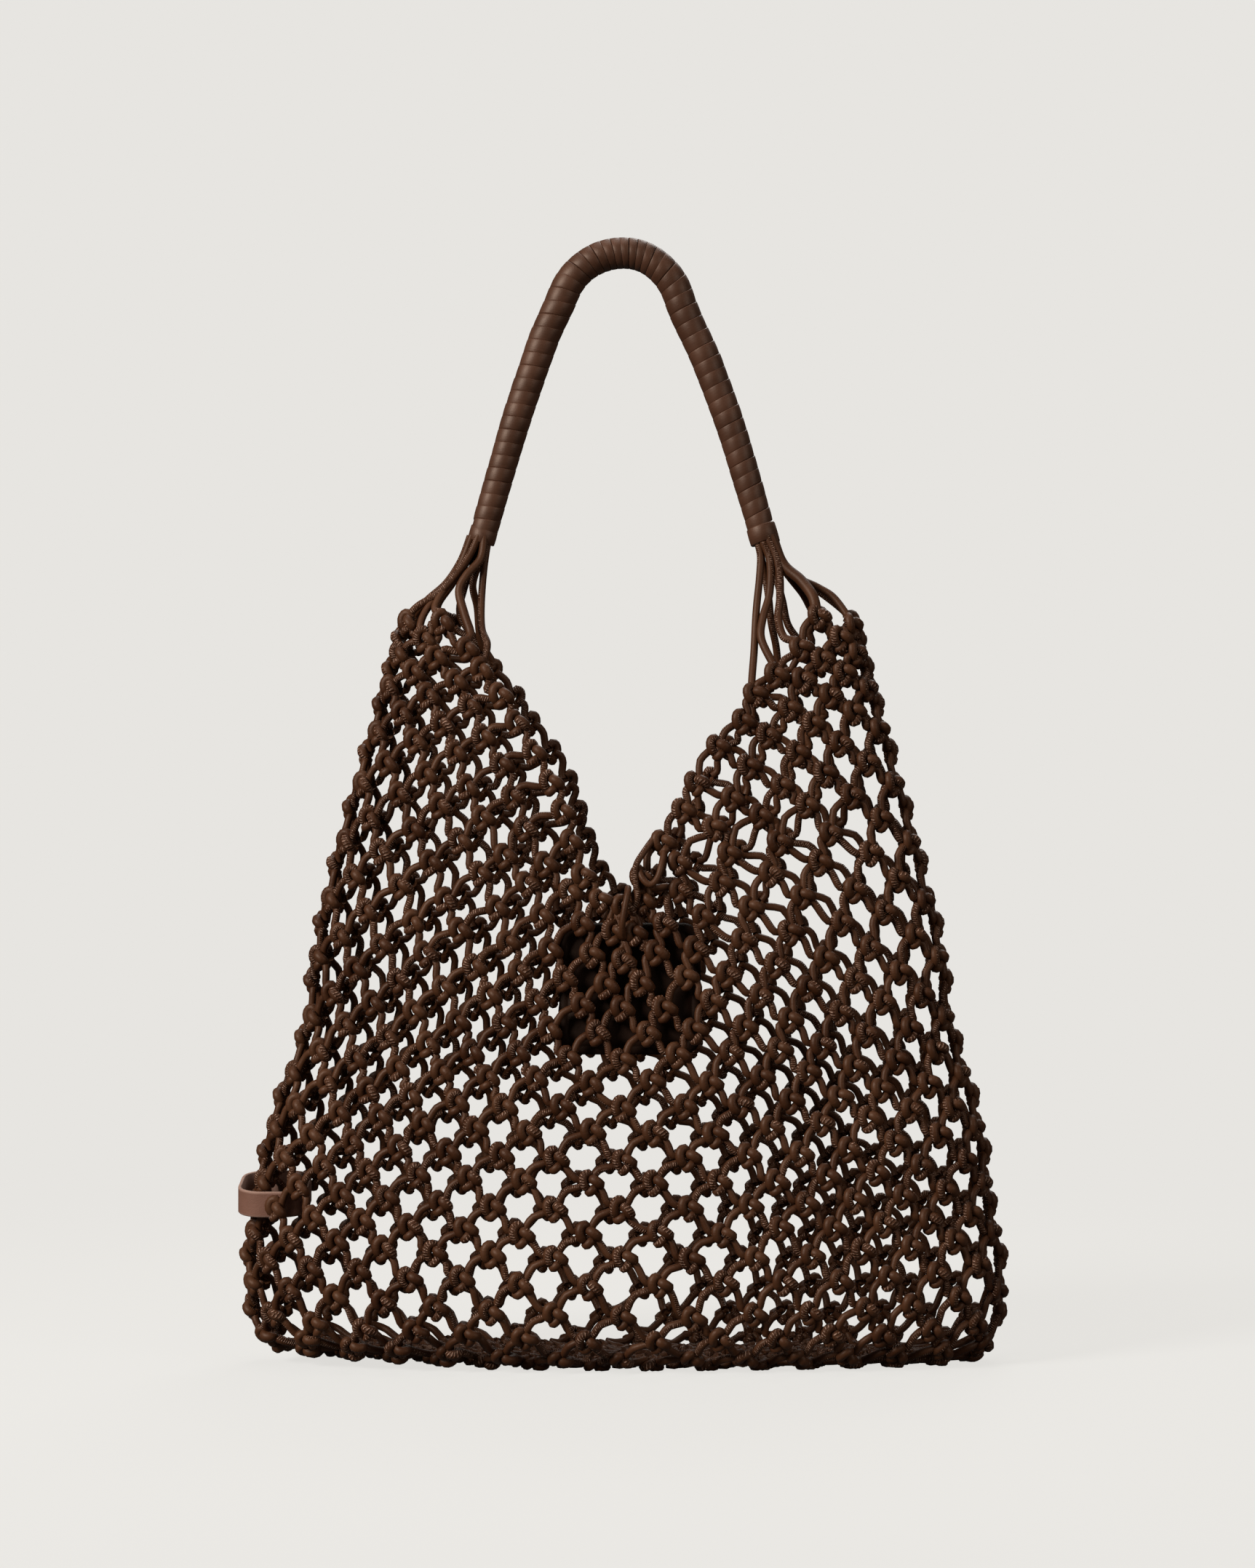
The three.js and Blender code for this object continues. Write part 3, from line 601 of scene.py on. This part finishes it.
LACE = lace_group()
GRAIN = grain_group()
CORD_TREE = cord_tree()
# the last colour is the pale specks on the stitch crests: partly wear, partly painted glints
NET_LEATHER = cord_leather("cord_leather", (0.040, 0.0110, 0.0028, 1), (0.073, 0.026, 0.0100, 1),
                           (0.36, 0.21, 0.145, 1))
STRIP_LEATHER = flat_leather("strip_leather", (0.046, 0.0155, 0.0065, 1), (0.085, 0.033, 0.017, 1),
                             0.5, 0.00004, specular=0.45)
CORE_LEATHER = flat_leather("core_leather", (0.02, 0.008, 0.004, 1), (0.03, 0.012, 0.006, 1),
                            0.8, 0.0001)
STRAP_LEATHER = flat_leather("strap_leather", (0.138, 0.062, 0.040, 1), (0.182, 0.085, 0.058, 1),
                             0.6, 0.0001, wear_and_glint=(0.31, 0.185, 0.14, 1))
POUCH_LEATHER = flat_leather("pouch_leather", (0.009, 0.0033, 0.0016, 1), (0.015, 0.0055, 0.003, 1),
                             0.6, 0.00005, specular=0.15)


# The net
KNOT_TURN = 0.09         # how much hand-tied knots differ in turn, in radians
KNOT_SCATTER = 0.0006    # in place
KNOT_SIZES = (0.95, 1.07)    # and in size


def knot_frame(column, row, shake):
    """Frame of one knot, a little out of place and turned as hand-tied knots are."""
    point, right, up, out = wall_frame(*lattice_place(column, row))
    turn = shake.gauss(0, KNOT_TURN)
    right, up = (right * math.cos(turn) + up * math.sin(turn),
                 up * math.cos(turn) - right * math.sin(turn))
    point = point + right * shake.gauss(0, KNOT_SCATTER) + up * shake.gauss(0, KNOT_SCATTER)
    return {"point": point, "right": right, "up": up, "out": out, "size": shake.uniform(*KNOT_SIZES)}


def in_knot(knot, right, up, out):
    """A place in a knot's own millimetres."""
    scale = knot["size"] / 1000
    return (knot["point"] + knot["right"] * right * scale + knot["up"] * up * scale
            + knot["out"] * out * scale)


# The three lobes of a knot as seen from outside: right, up and out, in millimetres
LEFT_LOBE = ((-1.3, -3.8, -1.2), (-2.9, -2.4, 1.0), (-3.7, 0.2, 1.9), (-3.1, 2.7, 1.7),
             (-1.3, 3.6, 0.8), (0.2, 2.0, -0.6))
RIGHT_LOBE = ((-0.4, 1.0, -0.2), (1.0, 0.7, 2.1), (2.6, -0.4, 2.6), (4.0, -1.8, 1.4),
              (4.0, -3.0, -0.8))
STUB_LOBE = ((1.9, -2.6, -0.2), (0.6, -3.8, 1.1), (-0.8, -5.1, 0.8), (-1.6, -4.9, -0.9),
             (-1.0, -3.0, -1.8))
# How fat the cord looks in each lobe, where the knot presses it flat
LOBES = ((LEFT_LOBE, 1.14), (RIGHT_LOBE, 1.26), (STUB_LOBE, 1.08))
LOBE_START = 0.9
LOBE_END = 0.85


def add_knot(cords, knot):
    radius = CORD / 2
    for lobe, fat in LOBES:
        points = [in_knot(knot, *place) for place in lobe]
        between = [radius * fat] * (len(points) - 2)
        cords.add(points, [radius * LOBE_START] + between + [radius * LOBE_END])


# Where a leg leaves its own knot and arrives in the next one, and the bow of its middle
RISING_LEG = {
    "leave": ((1.2, 0.6, -0.9), (2.2, 3.4, 0.0)),
    "arrive": ((-5.4, -2.5, -0.2), (-2.4, -0.8, -1.2)),
    "bow": (-1.3, 1.5),
}
FALLING_LEG = {
    "leave": ((1.6, -2.4, -1.0), (4.6, -4.9, -0.4)),
    "arrive": ((-6.6, 1.2, -0.3), (-2.8, 0.8, -1.3)),
    "bow": (0.0, -0.7),
}
LEG_SPAN = 0.011         # length between its two knots of a leg that bows just as given
LEG_THICKNESS = 0.95     # share of the cord's, pulled tight
STRAIGHT_ENOUGH = 0.75   # cosine between a leg's last bend and its way, under which the bend turns
TURNING = 1.6            # and how soon it has turned all the way


def add_leg(cords, start, end, leg):
    a, b = (in_knot(start, *place) for place in leg["leave"])
    d, e = (in_knot(end, *place) for place in leg["arrive"])
    # a leg from far above or below turns its last bend towards where it comes from
    way, come = d - e, (b - e).normalized()
    turned = min(max(TURNING * (STRAIGHT_ENOUGH - way.normalized().dot(come)), 0.0), 1.0)
    d = d.lerp(e + come * way.length, turned)
    across, rise = leg["bow"]
    bent = (d - b).length / LEG_SPAN
    middle = (b + d) / 2 + (start["right"] * across + start["up"] * rise) * bent * bent / 1000
    cords.add([a, b, middle, d, e], CORD / 2 * LEG_THICKNESS)


def net():
    """Every knot of the net with the two legs to its right-hand neighbours."""
    shake = random.Random(11)
    whole = 2 * COLUMNS_TO_FOLD
    knots = {}
    for row in range(SEAM_ROW, TOP_ROW + 1):
        for column in range(-whole, whole):
            if (column + row) % 2:
                continue
            from_middle = whole - abs(column) if abs(column) > COLUMNS_TO_FOLD else abs(column)
            if row > 0 and from_middle < row + V_COLUMNS:
                continue
            if row == SEAM_ROW and abs(column) > COLUMNS_TO_FOLD:
                continue
            knots[column, row] = knot_frame(column, row, shake)
    bundles = {name: CordBundle(seed) for seed, name in enumerate(
        ("net_front_left", "net_front_right", "net_back_left", "net_back_right"))}

    def find(column, row):
        column = (column + whole) % (2 * whole) - whole
        if row == SEAM_ROW and abs(column) > COLUMNS_TO_FOLD:
            column = int(math.copysign(whole, column)) - column
        return knots.get((column, row))

    for (column, row), knot in knots.items():
        panel = "front" if abs(column) <= COLUMNS_TO_FOLD else "back"
        side = "left" if column < 0 else "right"
        cords = bundles[f"net_{panel}_{side}"]
        add_knot(cords, knot)
        upper, lower = find(column + 1, row + 1), find(column + 1, row - 1)
        if upper:
            add_leg(cords, knot, upper, RISING_LEG)
        if lower:
            add_leg(cords, knot, lower, FALLING_LEG)
    return knots, {name: cords.make(name, NET_LEATHER) for name, cords in bundles.items()}


def settle(piece, body, slot, *nodes):
    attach(piece, body)
    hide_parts(*nodes)


# Meshes made of rings
def mesh_from_rings(name, rings, material, places=None, closed=False, edges=None):
    """Skin over rings of equal count, capped at both ends unless it closes on itself."""
    count = len(rings[0])
    points = [point for ring in rings for point in ring]
    faces = []
    last = len(rings) if closed else len(rings) - 1
    for i in range(last):
        a, b = i * count, (i + 1) % len(rings) * count
        for j in range(count):
            k = (j + 1) % count
            faces.append((a + j, a + k, b + k, b + j))
    if not closed:
        faces.append(tuple(reversed(range(count))))
        faces.append(tuple(range(len(points) - count, len(points))))
    volume = sum(points[f[0]].dot(points[f[i]].cross(points[f[i + 1]]))
                 for f in faces for i in range(1, len(f) - 1))
    if volume < 0:
        faces = [tuple(reversed(f)) for f in faces]
    mesh = bpy.data.meshes.new(name)
    mesh.from_pydata(points, [], faces)
    if places:
        flat = [v for ring in places for place in ring for v in place]
        mesh.attributes.new("cord_place", "FLOAT_VECTOR", "POINT").data.foreach_set("vector", flat)
    if edges:
        mesh.attributes.new("worn_edge", "FLOAT", "POINT").data.foreach_set(
            "value", [v for ring in edges for v in ring])
    mesh.polygons.foreach_set("use_smooth", [True] * len(mesh.polygons))
    mesh.materials.append(material)
    piece = bpy.data.objects.new(name, mesh)
    bpy.context.scene.collection.objects.link(piece)
    return piece


# The handle, wound with one flat strip
HANDLE_TOP = 0.5255
ARCH_RADIUS = 0.030
LEAN = math.radians(18.6)
HANDLE_END = 0.383
HANDLE_DIAMETER_TOP = 0.0146
HANDLE_DIAMETER_END = 0.0126
ARCH_HEIGHT = HANDLE_TOP - HANDLE_DIAMETER_TOP / 2 - ARCH_RADIUS
ARCH_LENGTH = ARCH_RADIUS * (math.pi / 2 - LEAN)
LEG_LENGTH = (ARCH_HEIGHT + ARCH_RADIUS * math.sin(LEAN) - HANDLE_END) / math.cos(LEAN)
HALF_LENGTH = ARCH_LENGTH + LEG_LENGTH
PITCH_AT_TOP = 0.0037
PITCH_ON_LEG = 0.0063
STRIP_SEGMENTS = 28      # per turn
STRIP_PROFILE = (
    # share of the strip's half width, height over the strip's face in millimetres
    (-1.0, -1.4), (-1.0, -0.14), (-0.86, 0.0), (0.0, 0.07), (0.86, 0.0), (1.0, -0.14), (1.0, -1.4),
)
OVERLAP_STEP = 0.00010   # each turn's upper edge stands proud of the turn above by twice this
STRIP_SHARE = 0.475      # half of the strip's width, as a share of its pitch, at the handle's top
STRIP_SHARE_MORE = 0.035     # and what the legs have more
STRIP_WANDER = 0.00018   # how far a turn strays along the handle
STRIP_PROUD = 0.00008    # and outwards
RIGHT_STRIP_SHORT = 0.0085   # where the winding stops before the handle's ends
LEFT_STRIP_SHORT = 0.0065
CORE_RINGS = 60
CORE_SIDES = 16
CORE_SHORT = 0.004       # the core stops this far before the handle's ends
CORE_DEPTH = 0.0011      # and lies this far under the strip's face
BAND_STEPS = 32
BAND_SLANT = 0.0005      # how far the bands' edges slant from the front to the back, each way
LEFT_BAND = (0.0068, 0.00645, 0.0)      # width, radius and how much longer the outer side is
RIGHT_BAND = (0.0080, 0.0069, 0.0020)

# How far the handle leans out of its drawn line, in millimetres to the right
HANDLE_SWAY = (
    # length along the handle from its top, sway
    (-160, 0.5),
    (-125, -1.2),
    (-90, -2.4),
    (-60, -2.2),
    (-35, 0.0),
    (0, 0.0),
    (22, -2.0),
    (40, -2.6),
    (70, 0.4),
    (100, 1.3),
    (130, 0.4),
    (160, -0.9),
)


def handle_frame(along):
    """Point, way and outward way of the handle at a length from its top, positive to the right."""
    side = -1 if along < 0 else 1
    angle = min(abs(along), ARCH_LENGTH) / ARCH_RADIUS
    past = max(abs(along) - ARCH_LENGTH, 0)
    point = Vector((side * (ARCH_RADIUS * math.sin(angle) + past * math.sin(LEAN)), 0,
                    ARCH_HEIGHT + ARCH_RADIUS * math.cos(angle) - past * math.cos(LEAN)))
    point.x += look_up(HANDLE_SWAY, 1, along * 1000) / 1000
    way = Vector((math.cos(angle), 0, -side * math.sin(angle)))
    outward = Vector((side * math.sin(angle), 0, math.cos(angle)))
    return point, way, outward


def handle_radius(along):
    shrink = HANDLE_DIAMETER_TOP - HANDLE_DIAMETER_END
    return (HANDLE_DIAMETER_TOP - shrink * abs(along / HALF_LENGTH) ** 1.5) / 2


def on_handle(along, angle, radius):
    """A point round the handle: angle 0 is on its outer side, a quarter turn later its front."""
    point, way, outward = handle_frame(along)
    return point + outward * radius * math.cos(angle) + way.cross(outward) * radius * math.sin(angle)


def pitch_at(along):
    """Share of the way from the top to the end of the arch, and the strip's pitch there."""
    share = min(abs(along) / ARCH_LENGTH, 1.0)
    return share, PITCH_AT_TOP + (PITCH_ON_LEG - PITCH_AT_TOP) * share * share * (3 - 2 * share)


def strip_turns(reach):
    """Steps of the winding from the top down one leg: turns made and length along the handle."""
    steps, along, turns = [], 0.0, 0.0
    while along < reach:
        steps.append((turns, along))
        turns += 1 / STRIP_SEGMENTS
        along += pitch_at(along)[1] / STRIP_SEGMENTS
    return steps


def handle_strip():
    shake = random.Random(5)
    right = strip_turns(HALF_LENGTH - RIGHT_STRIP_SHORT)
    left = strip_turns(HALF_LENGTH - LEFT_STRIP_SHORT)
    steps = [(-t, -a) for t, a in reversed(left[1:])] + right
    rings, places = [], []
    wobble = {}
    for turns, along in steps:
        share, pitch = pitch_at(along)
        whole = math.floor(turns)
        for turn in (whole, whole + 1):
            wobble.setdefault(turn, (shake.uniform(-1, 1), shake.uniform(-1, 1)))
        part = turns - whole
        ease = part * part * (3 - 2 * part)
        shift, proud = (a + (b - a) * ease for a, b in zip(wobble[whole], wobble[whole + 1]))
        half_width = pitch * (STRIP_SHARE + STRIP_SHARE_MORE * share)
        tilt = OVERLAP_STEP * share * (1 if along > 0 else -1)
        centre = along + shift * STRIP_WANDER
        radius = handle_radius(along) + proud * STRIP_PROUD
        ring, place = [], []
        for across, over in STRIP_PROFILE:
            height = radius + over / 1000 - tilt * across
            ring.append(on_handle(centre + across * half_width, 2 * math.pi * turns, height))
            place.append((across * half_width, over / 1000, 2 * math.pi * turns * radius))
        rings.append(ring)
        places.append(place)
    return mesh_from_rings("handle_strip", rings, STRIP_LEATHER, places)


def handle_core():
    """The cords' bundle under the strip, seen only in the gaps between turns."""
    rings = []
    for i in range(CORE_RINGS + 1):
        along = (2 * i / CORE_RINGS - 1) * (HALF_LENGTH - CORE_SHORT)
        radius = handle_radius(along) - CORE_DEPTH
        rings.append([on_handle(along, 2 * math.pi * j / CORE_SIDES, radius) for j in range(CORE_SIDES)])
    return mesh_from_rings("handle_core", rings, CORE_LEATHER)


BAND_PROFILE = (
    # share of the band's width, height over its face in millimetres
    (0.0, -1.5), (0.0, -0.3), (0.06, 0.0), (0.5, 0.1), (0.94, 0.0), (1.0, -0.4), (1.0, -1.6),
)


def end_band(side, width, radius, droop):
    """The last turn of the strip, round the cords where they leave the handle."""
    rings, places = [], []
    for i in range(BAND_STEPS):
        angle = 2 * math.pi * i / BAND_STEPS
        # the strip's tucked end makes the band longer on its outer side
        longer = droop * max(0.0, math.cos(angle)) ** 3
        start = HALF_LENGTH - width - side * BAND_SLANT * math.sin(angle)
        ring, place = [], []
        for share, over in BAND_PROFILE:
            along = start + (width + longer) * share
            ring.append(on_handle(side * along, angle, radius + over / 1000))
            place.append((share * width, over / 1000, angle * radius))
        rings.append(ring)
        places.append(place)
    name = "end_band_left" if side < 0 else "end_band_right"
    return mesh_from_rings(name, rings, STRIP_LEATHER, places, closed=True)


# Cords from the handle to the shoulders: the knot that each ends in, then its way there in millimetres
LEFT_FAN = {
    "inner_front": ((-10, 8), (-62.8, -2.6, 386), (-65.0, -3.5, 371), (-66.2, -6, 354),
                    (-65.7, -12, 342), (-63.0, -17, 334.5)),
    "wavy": ((-11, 9), (-64.8, -4.4, 386), (-66.4, -6, 375), (-73.0, -9, 367), (-76.3, -11, 359.5),
             (-73.6, -14, 348.5), (-70.8, -17, 340)),
    "shoulder_front": ((-14, 10), (-67.4, -4.6, 386), (-71.5, -5.5, 377), (-78.3, -7, 367),
                       (-86, -8.5, 358.7), (-95, -9, 353.2)),
    "shoulder_middle": ((-12, 10), (-70.6, -2.6, 386), (-74.6, -2.6, 375.5), (-79.5, -5, 366),
                        (-85, -9, 358), (-87.5, -13, 351)),
    "shoulder_back": ((-16, 10), (-71.6, 1, 386), (-76, 1.5, 374.5), (-83, 2.5, 364), (-92, 3, 356)),
    "branch": ((-13, 9), (-69.0, -0.6, 386), (-75, -2.5, 372), (-84.8, -6, 360), (-92, -11, 350),
               (-94.2, -15, 342.5)),
    "inner_back": ((-20, 8), (-63.6, 2.4, 386), (-67, 3, 375), (-70.6, 6, 363.5), (-68.8, 12, 353),
                   (-67.4, 17, 338)),
    "middle_back": ((-19, 9), (-66, 4.2, 386), (-69.5, 5, 375), (-74.8, 9, 362), (-76.8, 14, 349)),
    "outer_back": ((-18, 10), (-69.2, 3.6, 386), (-73, 5, 375), (-80, 8, 364.5), (-87.5, 12, 353)),
}
RIGHT_FAN = {
    "inner_front": ((9, 7), (61.9, -2.6, 386), (63.9, -4, 377), (63.4, -6, 366), (61.7, -10, 350),
                    (60.6, -15, 332)),
    "second_front": ((10, 8), (63.6, -4.4, 386), (68.2, -5.5, 374.5), (68.0, -8, 359), (64.7, -13, 347),
                     (63.9, -17, 337)),
    "third_front": ((11, 9), (66.6, -4.8, 386), (72.0, -6, 373), (72.8, -10, 357), (71.8, -13, 347),
                    (74.3, -17, 338)),
    "thick": ((12, 10), (68.6, -3.6, 386), (74.4, -5, 372.5), (82.3, -9, 365), (87.6, -14, 357.5)),
    "shoulder_front": ((14, 10), (70.2, -1.0, 386), (77, -0.8, 369.5), (90.5, -2, 362), (98, -4, 357)),
    "shoulder_back": ((16, 10), (70.4, 2.0, 386), (77, 3, 370.5), (91, 3, 360.5), (100, 1, 353.5)),
    "inner_back": ((20, 8), (62.2, 2.4, 386), (65, 4, 374), (67.8, 7, 360), (69.5, 12, 346),
                   (72, 18, 335)),
    "middle_back": ((19, 9), (65.2, 4.4, 386), (70, 5, 372), (74.5, 9, 357), (77.5, 14, 345)),
    "outer_back": ((18, 10), (68.4, 3.6, 386), (75, 5, 371), (84, 9, 359.5), (88.5, 14, 352)),
}
THICKER = {"wavy": 1.15, "third_front": 1.1, "second_front": 1.08, "thick": 1.45}
FAN_ARRIVAL = ((-0.6, 3.2, 0.2), (0.2, 0.4, -0.6))    # places in the knot where each cord ends


def in_metres(route):
    return [Vector(place) / 1000 for place in route]


def fan(side, routes, knots, seed):
    cords = CordBundle(seed)
    for name, (key, *route) in routes.items():
        places = in_metres(route) + [in_knot(knots[key], *place) for place in FAN_ARRIVAL]
        cords.add(places, FAN_CORD / 2 * THICKER.get(name, 1.0))
    return cords.make(f"fan_{side}", NET_LEATHER, sides=12, steps=8)


# The cord that holds the pouch to the bottom of the V, and the loose cords beside it
TIE_RADIUS = 0.0015
LOOSE_RADIUS = 0.00155
TIE_ROUTE = ((0.5, -26, 200), (0.2, -36, 199.5), (-0.5, -41, 205), (0.8, -41.5, 214), (2.2, -38.5, 221),
             (2.0, -31, 221.5), (1.2, -26.5, 212), (0.5, -24.5, 203))
LOOSE_ROUTES = (
    ((15.5, -31, 247), (9.5, -36, 239), (5.6, -38, 232), (5.8, -38, 224), (6.4, -38, 218),
     (3.5, -36, 212)),
    ((19.0, -31, 241), (17.6, -37, 233.5), (15.6, -39, 227), (12.2, -39.5, 224), (8.6, -38.5, 227),
     (7.0, -36, 231.5)),
)


def pouch_tie():
    cords = CordBundle(41)
    cords.add(in_metres(TIE_ROUTE), TIE_RADIUS)
    for route in LOOSE_ROUTES:
        cords.add(in_metres(route), LOOSE_RADIUS)
    return cords.make("pouch_tie_cord", NET_LEATHER, sides=10, steps=6)


# Outline of a rectangle with round corners, as places round it
def rounded_outline(half_width, half_height, corner, steps):
    outline = []
    for quarter, (sx, sz) in enumerate(((1, 1), (-1, 1), (-1, -1), (1, -1))):
        for i in range(steps + 1):
            angle = math.pi / 2 * (quarter + i / steps)
            outline.append((sx * (half_width - corner) + corner * math.cos(angle),
                            sz * (half_height - corner) + corner * math.sin(angle)))
    return outline


# The leather loop at the left fold
LOOP_MIDDLE = Vector((-0.1628, 0, 0.0785))
LOOP_HALF_WIDTH = 0.0163
LOOP_HALF_DEPTH = 0.0212
LOOP_CORNER = 0.012
LOOP_HEIGHT = 0.0118
LOOP_THICKNESS = 0.0016
LOOP_TILT = math.radians(8)
LOOP_PROFILE = (
    # share of the half thickness, share of the half height, worn
    (-0.55, -1.0, 1), (0.55, -1.0, 1), (1.0, -0.93, 0.6), (1.0, -0.8, 0), (1.0, 0.8, 0),
    (1.0, 0.93, 0.6), (0.55, 1.0, 1), (-0.55, 1.0, 1), (-1.0, 0.93, 0.6), (-1.0, -0.93, 0.6),
)


def side_loop():
    inner = rounded_outline(LOOP_HALF_WIDTH - LOOP_THICKNESS, LOOP_HALF_DEPTH - LOOP_THICKNESS,
                            LOOP_CORNER - LOOP_THICKNESS, 8)
    outer = rounded_outline(LOOP_HALF_WIDTH, LOOP_HALF_DEPTH, LOOP_CORNER, 8)
    rings, edges = [], []
    for (xi, yi), (xo, yo) in zip(inner, outer):
        ring = []
        for out, up, _ in LOOP_PROFILE:
            share = (out + 1) / 2
            x, y = xi + (xo - xi) * share, yi + (yo - yi) * share
            z = up * LOOP_HEIGHT / 2 + y * math.tan(LOOP_TILT)
            ring.append(LOOP_MIDDLE + Vector((x, y, z)))
        rings.append(ring)
        edges.append([wear_and_glint for _, _, wear_and_glint in LOOP_PROFILE])
    return mesh_from_rings("side_loop_strap", rings, STRAP_LEATHER, closed=True, edges=edges)


# The flat pouch inside the front
POUCH_MIDDLE = (0.003, 0.176)
POUCH_HALF_WIDTH = 0.0325
POUCH_HALF_HEIGHT = 0.030
POUCH_CORNER = 0.008
POUCH_BEHIND_WALL = 0.0052
POUCH_LAYERS = (
    # share of the outline, depth behind the pouch's front in millimetres
    (0.02, 0.0), (0.4, 0.0), (0.75, 0.1), (0.86, 0.15), (0.875, 0.55), (0.89, 0.2), (0.965, 0.45),
    (1.0, 1.4), (1.0, 3.6), (0.965, 4.6), (0.75, 5.0), (0.02, 5.0),
)


def inside_front(x, height):
    """How far back the pouch's front lies there, to follow the net's wall."""
    level = (height - NET_THICKNESS / 2) / (BODY_HEIGHT - NET_THICKNESS)
    _, width, depth, fullness = section_at(round(level, 4))
    return -depth * (1 - (abs(x) / width) ** fullness) ** (1 / fullness) + POUCH_BEHIND_WALL


def pouch():
    outline = rounded_outline(POUCH_HALF_WIDTH, POUCH_HALF_HEIGHT, POUCH_CORNER, 6)
    rings = []
    for share, depth in POUCH_LAYERS:
        ring = []
        for out, up in outline:
            x, z = POUCH_MIDDLE[0] + out * share, POUCH_MIDDLE[1] + up * share
            ring.append(Vector((x, inside_front(x, z) + depth / 1000, z)))
        rings.append(ring)
    return mesh_from_rings("flat_pouch", rings, POUCH_LEATHER)


# Stage
BACKDROP = (0.799, 0.783, 0.753, 1)
SKY_COLOUR = (1.0, 0.93, 0.82, 1)
SKY_STRENGTH = 0.095
FLOOR_SIZE = 30.0        # half of the floor's side
FLOOR_COLOUR = (0.10, 0.098, 0.094, 1)
FLOOR_GLOW = (0.716, 0.702, 0.674, 1)
FLOOR_BOUNCE = 0.03
NEAR_BAG = (0.9, 0.25)   # between these lengths from the middle the floor takes on its own colour
LAMPS = (
    # name, place, height of the place it points to, side, power
    ("key", (-1.95, -1.6, 1.5), 0.25, 0.9, 90),
    ("fill", (1.9, -1.7, 1.1), 0.2, 1.2, 14),
    ("top", (0.0, 0.2, 2.4), 0.2, 1.4, 14),
    ("back", (0.5, 1.7, 2.0), 0.2, 1.0, 20),
)


def add_stage():
    world = bpy.data.worlds.new("studio")
    bpy.context.scene.world = world
    world.use_nodes = True
    tree = world.node_tree
    tree.nodes.clear()
    seen = add_node(tree, "ShaderNodeBackground", {"Color": BACKDROP, "Strength": 1.0})
    light = add_node(tree, "ShaderNodeBackground", {"Color": SKY_COLOUR, "Strength": SKY_STRENGTH})
    path = tree.nodes.new("ShaderNodeLightPath")
    mix = add_node(tree, "ShaderNodeMixShader", {0: path.outputs["Is Camera Ray"]})
    tree.links.new(light.outputs[0], mix.inputs[1])
    tree.links.new(seen.outputs[0], mix.inputs[2])
    output = tree.nodes.new("ShaderNodeOutputWorld")
    tree.links.new(mix.outputs[0], output.inputs["Surface"])

    floor_mesh = bpy.data.meshes.new("floor")
    corners = [(FLOOR_SIZE * x, FLOOR_SIZE * y, 0) for x, y in ((-1, -1), (1, -1), (1, 1), (-1, 1))]
    floor_mesh.from_pydata(corners, [], [(0, 1, 2, 3)])
    floor = bpy.data.objects.new("floor", floor_mesh)
    bpy.context.scene.collection.objects.link(floor)
    material, tree, shader = start_material("pale_floor", 0.95, 0.0)
    place = add_node(tree, "ShaderNodeTexCoord").outputs["Object"]
    near = map_range(tree, vector_node(tree, "LENGTH", place), *NEAR_BAG)
    tree.links.new(mix_colours(tree, near, (0, 0, 0, 1), FLOOR_COLOUR), shader.inputs["Base Color"])
    tree.links.new(mix_colours(tree, near, BACKDROP, FLOOR_GLOW), shader.inputs["Emission Color"])
    # the floor looks bright but throws little light back up under the net
    seen = tree.nodes.new("ShaderNodeLightPath").outputs["Is Camera Ray"]
    glow = map_range(tree, seen, 0.0, 1.0, FLOOR_BOUNCE, 1.0)
    tree.links.new(glow, shader.inputs["Emission Strength"])
    floor.data.materials.append(material)

    for name, lamp_place, target_height, side, power in LAMPS:
        data = bpy.data.lights.new(name, "AREA")
        data.shape = "SQUARE"
        data.size = side
        data.energy = power
        lamp = bpy.data.objects.new(name, data)
        lamp.location = lamp_place
        way = Vector((0, 0, target_height)) - Vector(lamp_place)
        lamp.rotation_euler = way.to_track_quat("-Z", "Y").to_euler()
        bpy.context.scene.collection.objects.link(lamp)
    scene = bpy.context.scene
    scene.view_settings.view_transform = "Standard"
    scene.view_settings.look = "None"


add_camera()
add_stage()
knots, net_pieces = net()
for name, piece in net_pieces.items():
    settle(piece, "root", "cord_leather", "net_front" if "front" in name else "net_back")
settle(handle_strip(), "root", "strip_leather", "handle_wrap")
settle(handle_core(), "root", "strip_leather", "handle_wrap")
settle(end_band(-1, *LEFT_BAND), "root", "strip_leather", "handle_end_left")
settle(end_band(1, *RIGHT_BAND), "root", "strip_leather", "handle_end_right")
for side, routes, seed in (("left", LEFT_FAN, 21), ("right", RIGHT_FAN, 22)):
    settle(fan(side, routes, knots, seed), "root", "cord_leather",
           *(f"fan_cord_{side}_{number}" for number in range(1, 10)))
settle(side_loop(), "root", "strap_leather", "side_loop")
settle(pouch(), "root", "pouch_leather", "pouch")
settle(pouch_tie(), "root", "cord_leather", "pouch_tie")
